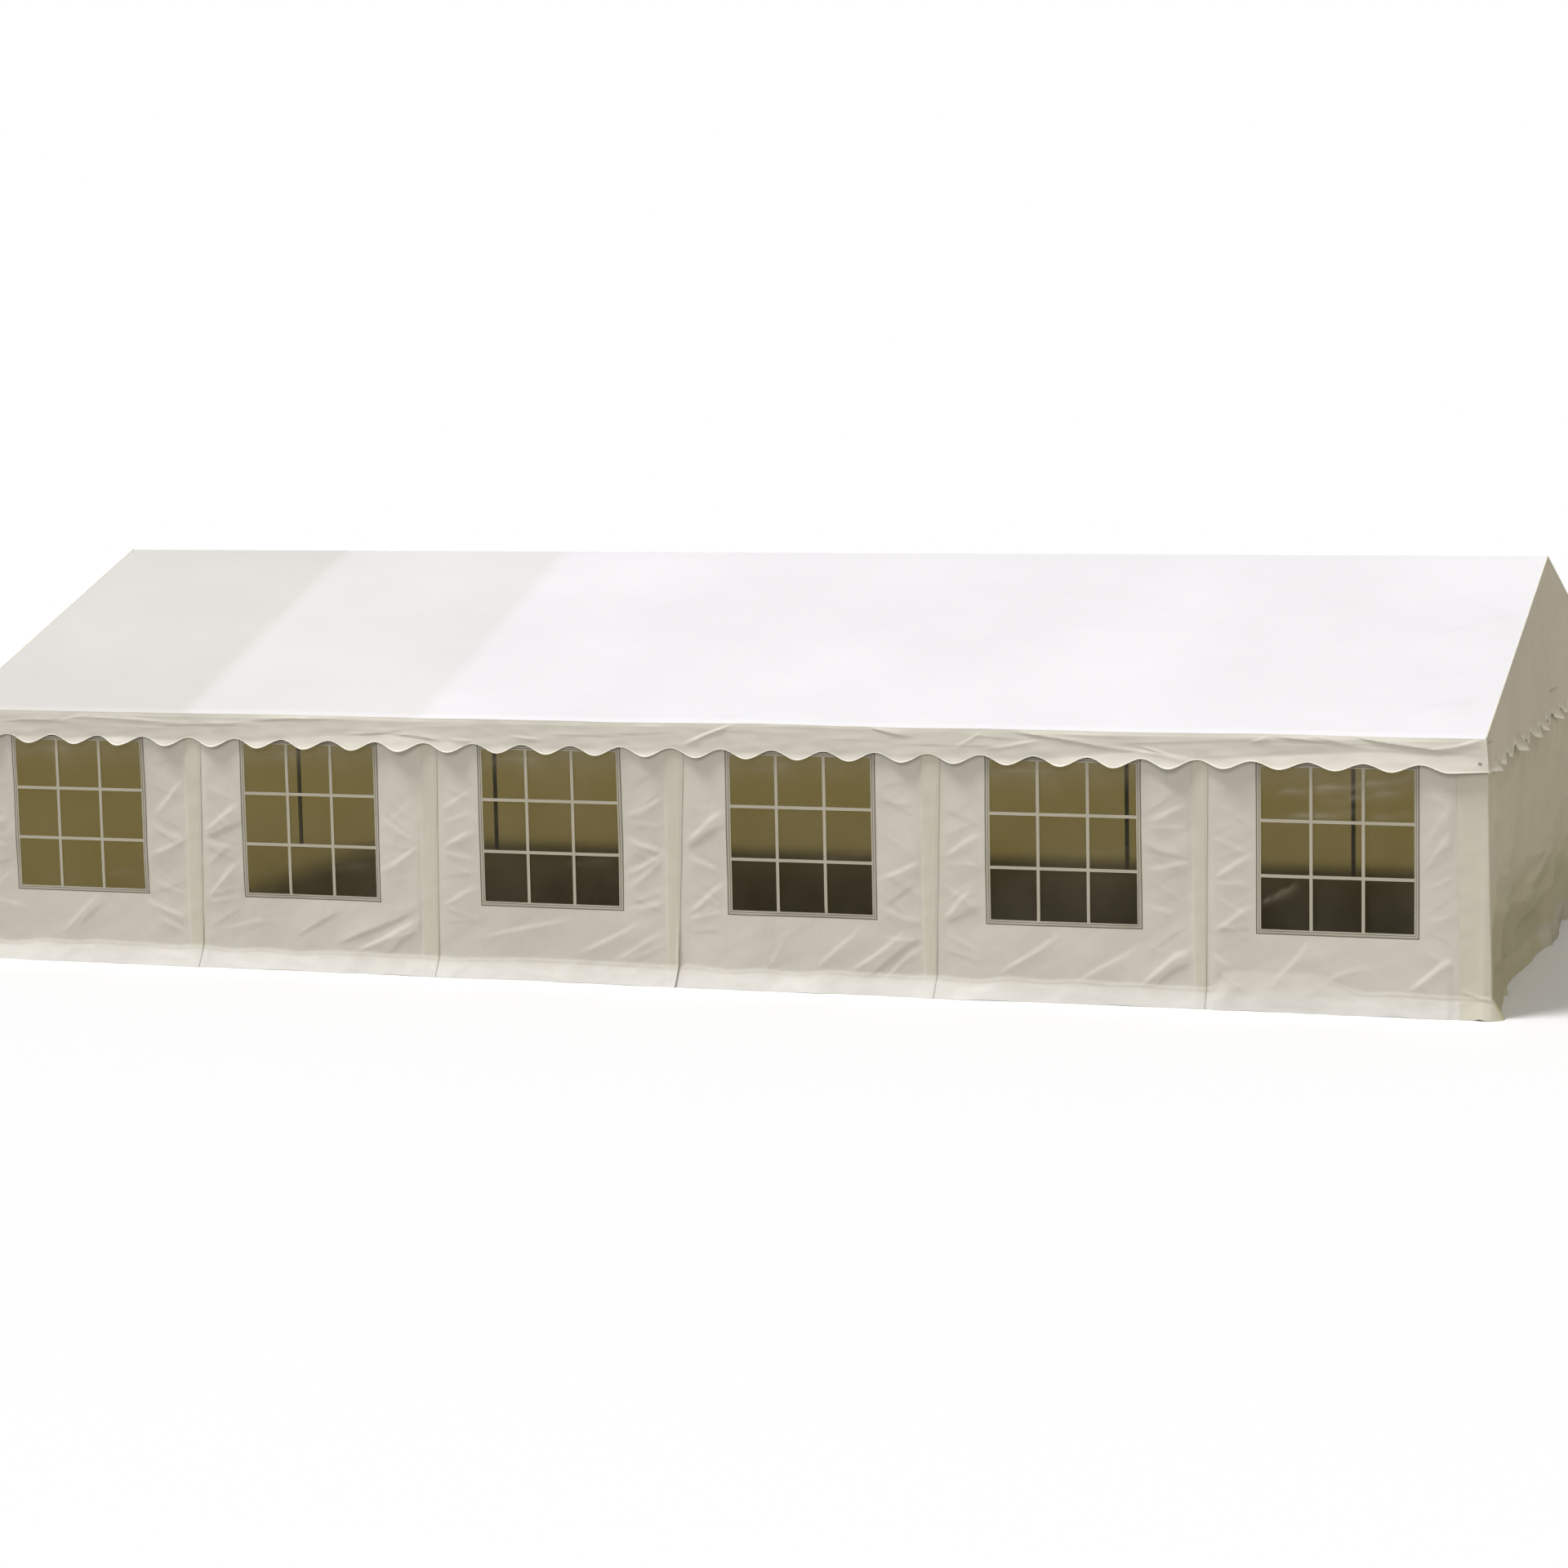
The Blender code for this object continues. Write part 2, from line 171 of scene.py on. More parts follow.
END_CREASES = [
    (2.15, 0.84, 4.30, 1.12, 0.030), (1.00, 1.55, 1.12, 1.80, 0.006),
    (1.70, 0.90, 3.45, 0.76, 0.016), (0.30, 0.98, 1.90, 0.76, 0.012),
    (0.70, 0.66, 2.60, 0.50, 0.014), (2.00, 0.62, 3.30, 0.86, 0.018),
    (0.40, 1.18, 1.50, 1.42, 0.008), (2.60, 1.10, 3.50, 1.45, 0.020),
    (3.60, 0.55, 5.00, 1.00, 0.018), (4.40, 1.15, 5.60, 1.50, 0.012),
    (3.10, 1.50, 4.20, 1.32, -0.012), (5.00, 0.60, 5.90, 0.90, 0.012),
]
LAP_EDGES = [
    (-0.052, -0.067, 0.082, 0.039), (-0.046, -0.074, 0.087, 0.050), (-0.056, -0.067, 0.091, 0.010),
    (-0.064, -0.053, 0.082, 0.031), (-0.045, -0.026, 0.072, 0.051),
]
FILM_WRINKLES = [
    (0.45, 1.56, 1.50, 1.70, 0.9), (0.43, 1.38, 1.15, 1.46, 0.7), (0.90, 1.52, 1.56, 1.62, 0.6),
    (0.43, 0.76, 0.72, 0.94, 0.5), (1.20, 1.40, 1.56, 1.47, 0.4),
]

# How far the hem of the end wall stands out, at distances from the front corner.
END_HEM_AT = (0.0, 0.35, 0.75, 1.30, 2.40, 2.95, 3.10, 3.40, 3.80, 4.50, 5.20, 5.70, 6.0)
END_HEM_OUT = (0.085, 0.075, 0.05, -0.08, -0.06, -0.05, -0.01, 0.04, 0.03, -0.01, 0.03, 0.06, 0.075)


class TentCloth(bpy.types.PropertyGroup):
    thickness: FloatProperty(
        name="Cloth thickness", description="Thickness of the coated sheet",
        default=0.0025, unit="LENGTH")
    roof_colour: FloatVectorProperty(
        name="Roof colour", description="Colour of the roof sheet",
        default=(0.77, 0.765, 0.81), size=3, subtype="COLOR")
    # Painted shade: the valances are cut from the roof cloth but coloured darker and warmer.
    valance_shaded_colour: FloatVectorProperty(
        name="Valance colour", description="Colour of the hanging strips under the roof",
        default=(0.605, 0.58, 0.52), size=3, subtype="COLOR")
    wall_colour: FloatVectorProperty(
        name="Wall colour", description="Colour of the wall sheets",
        default=(0.605, 0.57, 0.515), size=3, subtype="COLOR")
    # Painted light: lighter foot of the front wall, which tilts up towards the lamps.
    skirt_light_colour: FloatVectorProperty(
        name="Skirt colour", description="Colour of the front wall's foot",
        default=(0.64, 0.625, 0.60), size=3, subtype="COLOR")
    # Painted shade where two wall sheets lie over each other, also on the end wall's corner strip; on the end wall's
    # foot the same colour is painted light.
    lap_shade_and_hem_light_colour: FloatVectorProperty(
        name="Lap colour", description="Colour where two wall sheets lie over each other",
        default=(0.585, 0.555, 0.475), size=3, subtype="COLOR")
    # Painted shade: the wall cloth coloured darker and more olive for the shaded end wall.
    end_shaded_colour: FloatVectorProperty(
        name="End wall colour", description="Colour of the end wall",
        default=(0.635, 0.575, 0.45), size=3, subtype="COLOR")
    # Painted shade: the roof cloth coloured darker and browner for the shaded gable flaps.
    gable_shaded_colour: FloatVectorProperty(
        name="Gable colour", description="Colour of the flaps that close the roof's ends",
        default=(0.675, 0.615, 0.52), size=3, subtype="COLOR")
    # Painted light: the greenish glow that grass throws up onto the lower end wall.
    grass_glow_colour: FloatVectorProperty(
        name="Grass tint", description="Colour that the lower end wall takes from grass",
        default=(0.575, 0.54, 0.37), size=3, subtype="COLOR")
    binding_colour: FloatVectorProperty(
        name="Binding colour", description="Colour of the tape sewn on the scalloped edges",
        default=(0.78, 0.76, 0.68), size=3, subtype="COLOR")
    valance_lean: FloatProperty(
        name="Valance lean", description="How far the foot of a valance stands out",
        default=0.026, unit="LENGTH")
    corner_strip: FloatProperty(
        name="Corner strip", description="How far the end wall reaches past the corner leg",
        default=0.20, unit="LENGTH")
    skirt_height: FloatProperty(
        name="Skirt height", description="Height at which the walls turn outwards to the ground",
        default=0.145, unit="LENGTH")
    skirt_out: FloatProperty(
        name="Skirt reach", description="How far the foot of the front wall stands out",
        default=0.082, unit="LENGTH")


class TentWindows(bpy.types.PropertyGroup):
    film_colour: FloatVectorProperty(
        name="Film colour", description="What the clear film lets through of each colour",
        default=(0.395, 0.345, 0.195), size=3, subtype="COLOR")
    # Dust colour, also laid along the film's wrinkles as painted highlight.
    dust_and_glint_colour: FloatVectorProperty(
        name="Dust colour", description="Colour of the dust and scuffs on the film",
        default=(0.62, 0.58, 0.46), size=3, subtype="COLOR")
    dust_share: FloatProperty(
        name="Dust", description="Share of the film that dust covers", default=0.045, subtype="FACTOR")
    film_thickness: FloatProperty(
        name="Film thickness", description="Thickness of the clear film",
        default=0.001, unit="LENGTH")
    bar_colour: FloatVectorProperty(
        name="Bar colour", description="Colour of the welded bars and border",
        default=(0.44, 0.405, 0.33), size=3, subtype="COLOR")
    edge_colour: FloatVectorProperty(
        name="Edge colour", description="Colour of the darker line round each window",
        default=(0.16, 0.145, 0.13), size=3, subtype="COLOR")
    border_width: FloatProperty(
        name="Border width", description="Width of the border inside the edge line",
        default=0.028, unit="LENGTH")
    bar_width: FloatProperty(
        name="Bar width", description="Width of the bars between the panes",
        default=0.023, unit="LENGTH")
    edge_width: FloatProperty(
        name="Edge width", description="Width of the darker line round each window",
        default=0.009, unit="LENGTH")
    seam_inset: FloatProperty(
        name="Seam inset", description="Distance of the seam in the border from the window's edge",
        default=0.022, unit="LENGTH")
    seam_width: FloatProperty(
        name="Seam width", description="Width of the seam in the border",
        default=0.0045, unit="LENGTH")
    panes: IntProperty(
        name="Panes", description="Panes across and up each window", default=3)


class TentSteel(bpy.types.PropertyGroup):
    colour: FloatVectorProperty(
        name="Steel colour", description="Colour of the zinc-coated tubes",
        default=(0.30, 0.30, 0.29), size=3, subtype="COLOR")
    roughness: FloatProperty(
        name="Steel roughness", description="Roughness of the zinc coat",
        default=0.42, subtype="FACTOR")


class TentStage(bpy.types.PropertyGroup):
    floor_colour: FloatVectorProperty(
        name="Floor colour", description="Colour of the studio floor",
        default=(0.86, 0.87, 0.90), size=3, subtype="COLOR")
    bounce_colour: FloatVectorProperty(
        name="Bounce colour", description="Colour that the floor throws back at the tent",
        default=(0.51, 0.50, 0.465), size=3, subtype="COLOR")
    sky_strength: FloatProperty(
        name="Sky strength", description="Strength of the even light from all sides", default=0.36)
    sky_cool: FloatVectorProperty(
        name="Sky left", description="Colour of the even light from the left",
        default=(0.93, 0.97, 1.0), size=3, subtype="COLOR")
    sky_warm: FloatVectorProperty(
        name="Sky right", description="Colour of the even light from the right",
        default=(1.10, 1.0, 0.80), size=3, subtype="COLOR")
    sun_strength: FloatProperty(
        name="Lamp strength", description="Strength of the high soft lamp", default=2.5)
    sun_direction: FloatVectorProperty(
        name="Lamp direction", description="Direction from the tent to the high lamp",
        default=(-0.38, -0.27, 0.88), size=3, subtype="DIRECTION")
    front_strength: FloatProperty(
        name="Front lamp strength", description="Strength of the low lamp behind the camera", default=0.75)
    front_direction: FloatVectorProperty(
        name="Front lamp direction", description="Direction from the tent to the low lamp",
        default=(0.12, -0.90, 0.42), size=3, subtype="DIRECTION")
    sun_angle: FloatProperty(
        name="Lamp size", description="Angle that each lamp covers, which softens its shadows",
        default=math.radians(20), subtype="ANGLE")
    camera_place: FloatVectorProperty(
        name="Camera place", description="Where the camera stands",
        default=(10.157, -30.078, 5.363), size=3, subtype="XYZ", unit="LENGTH")
    camera_turn: FloatProperty(
        name="Camera turn", description="How far the camera looks to the left of +Y",
        default=0.3309, subtype="ANGLE")
    camera_dip: FloatProperty(
        name="Camera dip", description="How far the camera looks down",
        default=0.1323, subtype="ANGLE")
    camera_roll: FloatProperty(
        name="Camera roll", description="How far the camera leans to its right",
        default=-0.0204, subtype="ANGLE")
    camera_lens: FloatProperty(
        name="Lens", description="Focal length on a 36 mm wide sensor, in millimetres",
        default=89.77)


def smooth(value):
    """0 below 0, 1 above 1, and 3t^2 - 2t^3 between them."""
    part = np.clip(value, 0.0, 1.0)
    return part * part * (3.0 - 2.0 * part)


def between(value, start, end, fade):
    """1 from start to end, falling to 0 over fade inside both."""
    return smooth((value - start) / fade) * smooth((end - value) / fade)


def ripples(a, b, seed, wavelength, count=7):
    """A sum of sine waves in seeded directions and lengths round wavelength, about -1 to 1."""
    draw = np.random.default_rng(seed)
    total = 0.0
    for _ in range(count):
        angle = draw.uniform(0.0, math.pi)
        length = wavelength * draw.uniform(0.6, 1.7)
        phase = draw.uniform(0.0, 2 * math.pi)
        total = total + np.sin(2 * math.pi * (a * math.cos(angle) + b * math.sin(angle)) / length + phase)
    return total / (1.4 * math.sqrt(count))


def crinkles(a, b, seed, wavelength, count=5):
    """Sharp-edged waves: 1 - |sin| along seeded lines, each shown only where a slow wave is high."""
    draw = np.random.default_rng(seed)
    total = 0.0
    for _ in range(count):
        angle = draw.uniform(0.0, math.pi)
        phase = draw.uniform(0.0, 2 * math.pi)
        across = a * math.cos(angle) + b * math.sin(angle)
        along = b * math.cos(angle) - a * math.sin(angle)
        bent = across + 0.12 * wavelength * np.sin(2 * math.pi * along / (2.3 * wavelength) + phase)
        patch = smooth(0.2 + ripples(a, b, int(draw.integers(1, 9999)), 2.0 * wavelength, 4))
        total = total + patch * (1.0 - 2.0 * np.abs(np.sin(math.pi * bent / wavelength + phase)))
    return total / count


def crease(a, b, start, end, height, width, tail=4.5):
    """A fold along a line: a step over twice the width, then a slow fall over the tail.

    With a height above 0 the cloth steps out below the line and the step catches light from above.
    With one below 0 it swells above the line and steps back under it, into its own shade.
    """
    run = np.subtract(end, start)
    length = math.hypot(*run)
    along = ((a - start[0]) * run[0] + (b - start[1]) * run[1]) / length ** 2
    across = ((b - start[1]) * run[0] - (a - start[0]) * run[1]) / length
    if run[0] < 0:
        across = -across
    across = across + 0.4 * width * np.sin(5.0 * along + 9.0 * start[0])
    wide = width * (0.6 + 0.8 * np.clip(along, 0.0, 1.0))
    fade = smooth((along + 0.06) / 0.35) * smooth((1.10 - along) / 0.45)
    behind = -across if height > 0 else across
    step = smooth((behind + wide) / (2 * wide))
    return abs(height) * fade * step * np.exp(-np.clip(behind, 0.0, None) / (tail * wide))


def grid_lines(*stops):
    """Places from the first stop to the last: each further stop is (place, number of steps)."""
    places = [np.array([stops[0]])]
    for place, steps in stops[1:]:
        places.append(np.linspace(places[-1][-1], place, steps + 1)[1:])
    return np.concatenate(places)


def grid_normals(points):
    """Unit normals of a grid: its change along a row crossed with its change up a column."""
    along = np.gradient(points, axis=1)
    upward = np.gradient(points, axis=0)
    normals = np.cross(along, upward)
    return normals / np.maximum(np.linalg.norm(normals, axis=2, keepdims=True), 1e-12)


def cloth_mesh(name, points, pattern, thickness, keep=None, marks=None):
    """A closed thin sheet from a grid of points (rows, columns, 3).

    The outer face is the grid, the inner face is the grid moved back along its normals by the
    thickness, and a rim joins them along every open edge, also round what keep leaves out.
    pattern (rows, columns, 2) is the flat cloth in metres and becomes the UV map. marks
    (rows, columns) goes to the material as an attribute from 0 to 1.
    """
    rows, columns = points.shape[:2]
    number = np.arange(rows * columns).reshape(rows, columns)
    quads = np.stack(
        [number[:-1, :-1], number[:-1, 1:], number[1:, 1:], number[1:, :-1]], axis=-1)
    quads = quads.reshape(-1, 4) if keep is None else quads[keep]
    outer = points.reshape(-1, 3)
    inner = outer - thickness * grid_normals(points).reshape(-1, 3)
    used, quads = np.unique(quads, return_inverse=True)
    quads = quads.reshape(-1, 4)
    count = len(used)
    edges = np.stack([quads, np.roll(quads, -1, axis=1)], axis=-1).reshape(-1, 2)
    forward = edges[:, 0] * count + edges[:, 1]
    backward = edges[:, 1] * count + edges[:, 0]
    rim = edges[~np.isin(forward, backward)]
    rim_faces = np.stack([rim[:, 1], rim[:, 0], rim[:, 0] + count, rim[:, 1] + count], axis=1)
    faces = np.concatenate([quads, quads[:, ::-1] + count, rim_faces])
    corners = np.concatenate([outer[used], inner[used]])
    mesh = bpy.data.meshes.new(name)
    mesh.from_pydata(corners.tolist(), [], faces.tolist())
    flat = pattern.reshape(-1, 2)[used]
    flat = np.concatenate([flat, flat])[faces.ravel()]
    mesh.uv_layers.new(name="flat_cloth").uv.foreach_set("vector", flat.astype(np.float32).ravel())
    if marks is not None:
        shown = np.tile(marks.ravel()[used], 2).astype(np.float32)
        mesh.attributes.new("marks", "FLOAT", "POINT").data.foreach_set("value", shown)
    mesh.shade_smooth()
    mesh.set_sharp_from_angle(angle=math.radians(55))
    mesh.update()
    return mesh


def tube_mesh(name, path, radius, sides=8):
    """A closed round tube along a path: rings of radius r square to the path, with capped ends."""
    path = np.asarray(path, float)
    ahead = np.gradient(path, axis=0)
    ahead /= np.linalg.norm(ahead, axis=1, keepdims=True)
    side = np.cross(ahead, (0.0, 0.0, 1.0))
    flat = np.linalg.norm(side, axis=1, keepdims=True) < 1e-6
    side = np.where(flat, (1.0, 0.0, 0.0), side)
    side /= np.linalg.norm(side, axis=1, keepdims=True)
    top = np.cross(side, ahead)
    angle = 2 * math.pi * np.arange(sides) / sides
    spokes = side[:, None] * np.cos(angle)[:, None] + top[:, None] * np.sin(angle)[:, None]
    points = (path[:, None] + radius * spokes).reshape(-1, 3)
    number = np.arange(len(points)).reshape(-1, sides)
    following = np.roll(number, -1, axis=1)
    faces = np.stack([number[:-1], number[1:], following[1:], following[:-1]], axis=-1).reshape(-1, 4)
    mesh = bpy.data.meshes.new(name)
    caps = [number[0].tolist(), number[-1][::-1].tolist()]
    mesh.from_pydata(points.tolist(), [], faces[:, ::-1].tolist() + caps)
    mesh.shade_smooth()
    mesh.set_sharp_from_angle(angle=math.radians(55))
    return mesh


def ring_mesh(name, centre, axis, radius, wire, steps=24, sides=8):
    """A closed ring: a circle of radius wire carried round a circle of radius square to axis."""
    turn = Vector(axis).to_track_quat("Z", "Y").to_matrix()
    big, small = np.meshgrid(
        2 * math.pi * np.arange(steps) / steps, 2 * math.pi * np.arange(sides) / sides, indexing="ij")
    reach = radius + wire * np.cos(small)
    points = np.stack([reach * np.cos(big), reach * np.sin(big), wire * np.sin(small)], axis=-1)
    points = points.reshape(-1, 3) @ np.array(turn).T + np.array(centre)
    number = np.arange(steps * sides).reshape(steps, sides)
    beyond = np.roll(number, -1, axis=0)
    faces = np.stack(
        [number, beyond, np.roll(beyond, -1, axis=1), np.roll(number, -1, axis=1)], axis=-1)
    mesh = bpy.data.meshes.new(name)
    mesh.from_pydata(points.tolist(), [], faces.reshape(-1, 4).tolist())
    mesh.shade_smooth()
    return mesh


def place(mesh, material, slot, replaces=()):
    """Put a mesh into the scene as a piece that rides on the tent's one body."""
    piece = bpy.data.objects.new(mesh.name, mesh)
    mesh.materials.append(material)
    bpy.context.scene.collection.objects.link(piece)
    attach(piece, BODY)
    if replaces:
        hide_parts(*replaces)
    return piece


def new_material(name):
    """A node material with its tree, its shader and a short way to add and join nodes."""
    material = bpy.data.materials.get(name) or bpy.data.materials.new(name)
    material.use_nodes = True
    tree = material.node_tree
    tree.nodes.clear()
    shader = tree.nodes.new("ShaderNodeBsdfPrincipled")
    output = tree.nodes.new("ShaderNodeOutputMaterial")
    tree.links.new(shader.outputs["BSDF"], output.inputs["Surface"])
    return material, tree, shader


def add_node(tree, kind, settings=(), **inputs):
    """A node with its settings and inputs; an input given as a socket is linked."""
    node = tree.nodes.new("ShaderNode" + kind)
    for key, value in dict(settings).items():
        setattr(node, key, value)
    for key, value in inputs.items():
        socket = node.inputs[key.replace("_", " ")]
        if isinstance(value, bpy.types.NodeSocket):
            tree.links.new(value, socket)
        else:
            socket.default_value = value
    return node


def noise(tree, where, scale, detail=3.0, roughness=0.55):
    node = add_node(tree, "TexNoise", Vector=where, Scale=scale, Detail=detail, Roughness=roughness)
    return node.outputs["Fac"]


def in_range(tree, value, from_low, from_high, to_low, to_high):
    """The value carried from one range to another, without going past its ends."""
    node = add_node(tree, "MapRange", Value=value)
    for name, number in (
            ("From Min", from_low), ("From Max", from_high), ("To Min", to_low), ("To Max", to_high)):
        node.inputs[name].default_value = number
    return node.outputs["Result"]


def blend_colours(tree, share, first, second, mode="MIX"):
    node = tree.nodes.new("ShaderNodeMix")
    node.data_type = "RGBA"
    node.blend_type = mode
    for number, value in ((0, share), (6, first), (7, second)):
        if isinstance(value, bpy.types.NodeSocket):
            tree.links.new(value, node.inputs[number])
        elif number == 0:
            node.inputs[number].default_value = value
        else:
            node.inputs[number].default_value = (*value[:3], 1.0)
    return node.outputs[2]


def calculate(tree, operation, first, second=None):
    node = tree.nodes.new("ShaderNodeMath")
    node.operation = operation
    for number, value in enumerate((first, second)):
        if isinstance(value, bpy.types.NodeSocket):
            tree.links.new(value, node.inputs[number])
        elif value is not None:
            node.inputs[number].default_value = value
    return node.outputs["Value"]


def shade_of(colour, factor):
    return tuple(channel * factor for channel in colour)


def weave_height(tree):
    """Raised threads of a plain weave, over and under, 3 mm apart on the flat cloth."""
    flat = add_node(tree, "UVMap", {"uv_map": "flat_cloth"}).outputs["UV"]
    parts = add_node(tree, "SeparateXYZ", Vector=flat)
    threads = 2 * math.pi / 0.006
    across = calculate(tree, "SINE", calculate(tree, "MULTIPLY", parts.outputs["X"], threads))
    upward = calculate(tree, "SINE", calculate(tree, "MULTIPLY", parts.outputs["Y"], threads))
    return calculate(tree, "MULTIPLY", across, upward)


def streaks(tree):
    """Two crossing sets of long slanting wrinkles on the flat cloth, each a stretched noise."""
    flat = add_node(tree, "UVMap", {"uv_map": "flat_cloth"}).outputs["UV"]
    total = 0.0
    for turn, scale in ((35, (1.3, 6.0, 1.0)), (-28, (1.6, 7.5, 1.0))):
        turned = add_node(tree, "VectorRotate", Vector=flat, Angle=math.radians(turn))
        stretched = add_node(tree, "VectorMath", {"operation": "MULTIPLY"})
        tree.links.new(turned.outputs[0], stretched.inputs[0])
        stretched.inputs[1].default_value = scale
        total = calculate(tree, "ADD", noise(tree, stretched.outputs[0], 1.0, 2.0, 0.4), total)
    return total


def cloth_material(name, colour, tape_and_painted_light=None, low_grass_glow=None, skirt=None, painted_bay_shade=(), crinkle=0.5):
    """Coated woven sheet: threads and fine creases in the bump, slow changes of tone, and specks.

    The third argument is the colour put where the marks attribute is high: painted shade on the laps
    where two wall sheets lie over each other and on the end wall's corner strip, painted light on the
    end wall's foot, and the tape along the gable flaps' edge. The fourth is painted light, a greenish
    glow from grass over the lower part of a wall; the fifth is painted light on a wall's foot, which
    tilts up towards the lamps; and the sixth darkens the roof left of each given edge, painted shade
    over its first bays.
    """
    material, tree, shader = new_material(name)
    where = add_node(tree, "TexCoord").outputs["Object"]
    cloud = noise(tree, where, 0.55, 2.0)
    fine = noise(tree, where, 9.0, 5.0)
    tone = blend_colours(
        tree, in_range(tree, cloud, 0.35, 0.65, 0.0, 1.0), shade_of(colour, 0.97), shade_of(colour, 1.02))
    parts = add_node(tree, "SeparateXYZ", Vector=where)
    # Painted light: below about a metre the colour turns towards the greenish glow that grass throws up.
    if low_grass_glow is not None:
        height = calculate(tree, "ADD", parts.outputs["Z"], calculate(tree, "MULTIPLY", cloud, 0.5))
        tone = blend_colours(tree, in_range(tree, height, 0.85, 1.30, 1.0, 0.0), tone, low_grass_glow)
    # Where the marks attribute is high: painted shade on laps, painted light on the end wall's foot, and tape on the
    # gable flaps' edge.
    if tape_and_painted_light is not None:
        marks = add_node(tree, "Attribute", {"attribute_name": "marks"}).outputs["Fac"]
        tone = blend_colours(tree, marks, tone, tape_and_painted_light)
    # Painted light: below about 20 cm the wall's foot, which tilts up towards the lamps, is coloured lighter.
    if skirt is not None:
        ragged = noise(tree, where, 5.0, 4.0)
        height = calculate(tree, "ADD", parts.outputs["Z"], calculate(tree, "MULTIPLY", ragged, 0.16))
        tone = blend_colours(tree, in_range(tree, height, 0.15, 0.25, 1.0, 0.0), tone, skirt)
    tone = blend_colours(
        tree, in_range(tree, fine, 0.30, 0.75, 0.0, 0.25), tone, (0.93, 0.92, 0.90), "MULTIPLY")
    specks = in_range(tree, noise(tree, where, 38.0, 2.0), 0.70, 0.80, 0.0, 0.3)
    tone = blend_colours(tree, specks, tone, (0.80, 0.78, 0.72), "MULTIPLY")
    # Painted shade: the roof is darkened left of each given edge, most over its first bay.
    for edge, shade in painted_bay_shade:
        wavy = calculate(tree, "ADD", parts.outputs["X"], calculate(tree, "MULTIPLY", fine, 0.10))
        left = in_range(tree, wavy, edge - 0.04, edge + 0.10, 1.0, 0.0)
        tone = blend_colours(tree, left, tone, shade, "MULTIPLY")
    tree.links.new(tone, shader.inputs["Base Color"])
    tree.links.new(in_range(tree, fine, 0.3, 0.7, 0.46, 0.66), shader.inputs["Roughness"])
    shader.inputs["Sheen Weight"].default_value = 0.05
    shader.inputs["Specular IOR Level"].default_value = 0.4
    coarse = add_node(tree, "Bump", Strength=crinkle, Distance=0.010, Height=streaks(tree))
    threads = add_node(
        tree, "Bump", Strength=0.25, Distance=0.0006, Height=weave_height(tree),
        Normal=coarse.outputs["Normal"])
    tree.links.new(threads.outputs["Normal"], shader.inputs["Normal"])
    return material


def film_material(values):
    """Clear tinted sheet with a thin, patchy layer of dust; the dust colour is also laid along its wrinkles as
    painted highlight, and over its top as a lighter band.
    """
    material, tree, shader = new_material("clear_film")
    where = add_node(tree, "TexCoord").outputs["Object"]
    cloud = noise(tree, where, 1.6, 4.0)
    dust = blend_colours(tree, cloud, shade_of(values.dust_and_glint_colour, 0.8), values.dust_and_glint_colour)
    tree.links.new(dust, shader.inputs["Base Color"])
    tree.links.new(in_range(tree, cloud, 0.3, 0.7, 0.10, 0.22), shader.inputs["Roughness"])
    shader.inputs["Specular IOR Level"].default_value = 0.7
    waves = add_node(tree, "Bump", Strength=0.35, Distance=0.01, Height=noise(tree, where, 3.5, 2.0))
    tree.links.new(waves.outputs["Normal"], shader.inputs["Normal"])
    clear = add_node(tree, "BsdfTransparent", Color=(*values.film_colour, 1.0))
    # The marks attribute adds painted highlight along the wrinkles and a lighter band over the top; the rest of the
    # dust lies in patches.
    marks = add_node(tree, "Attribute", {"attribute_name": "marks"}).outputs["Fac"]
    patches = in_range(tree, cloud, 0.35, 0.75, values.dust_share * 0.6, values.dust_share * 1.6)
    share = calculate(tree, "ADD", patches, calculate(tree, "MULTIPLY", marks, 0.55))
    mixed = tree.nodes.new("ShaderNodeMixShader")
    tree.links.new(share, mixed.inputs[0])
    tree.links.new(clear.outputs[0], mixed.inputs[1])
    tree.links.new(shader.outputs["BSDF"], mixed.inputs[2])
    output = next(node for node in tree.nodes if node.type == "OUTPUT_MATERIAL")
    tree.links.new(mixed.outputs[0], output.inputs["Surface"])
    return material


def smooth_plastic(name, colour, roughness):
    """Welded plastic tape: a little change of tone and gloss, and a fine grain."""
    material, tree, shader = new_material(name)
    where = add_node(tree, "TexCoord").outputs["Object"]
    cloud = noise(tree, where, 5.0, 4.0)
    tone = blend_colours(tree, cloud, shade_of(colour, 0.90), shade_of(colour, 1.08))
    tree.links.new(tone, shader.inputs["Base Color"])
    tree.links.new(in_range(tree, cloud, 0.3, 0.7, roughness, roughness + 0.15), shader.inputs["Roughness"])
    grain = add_node(tree, "Bump", Strength=0.2, Distance=0.0008, Height=noise(tree, where, 240.0, 2.0))
    tree.links.new(grain.outputs["Normal"], shader.inputs["Normal"])
    return material


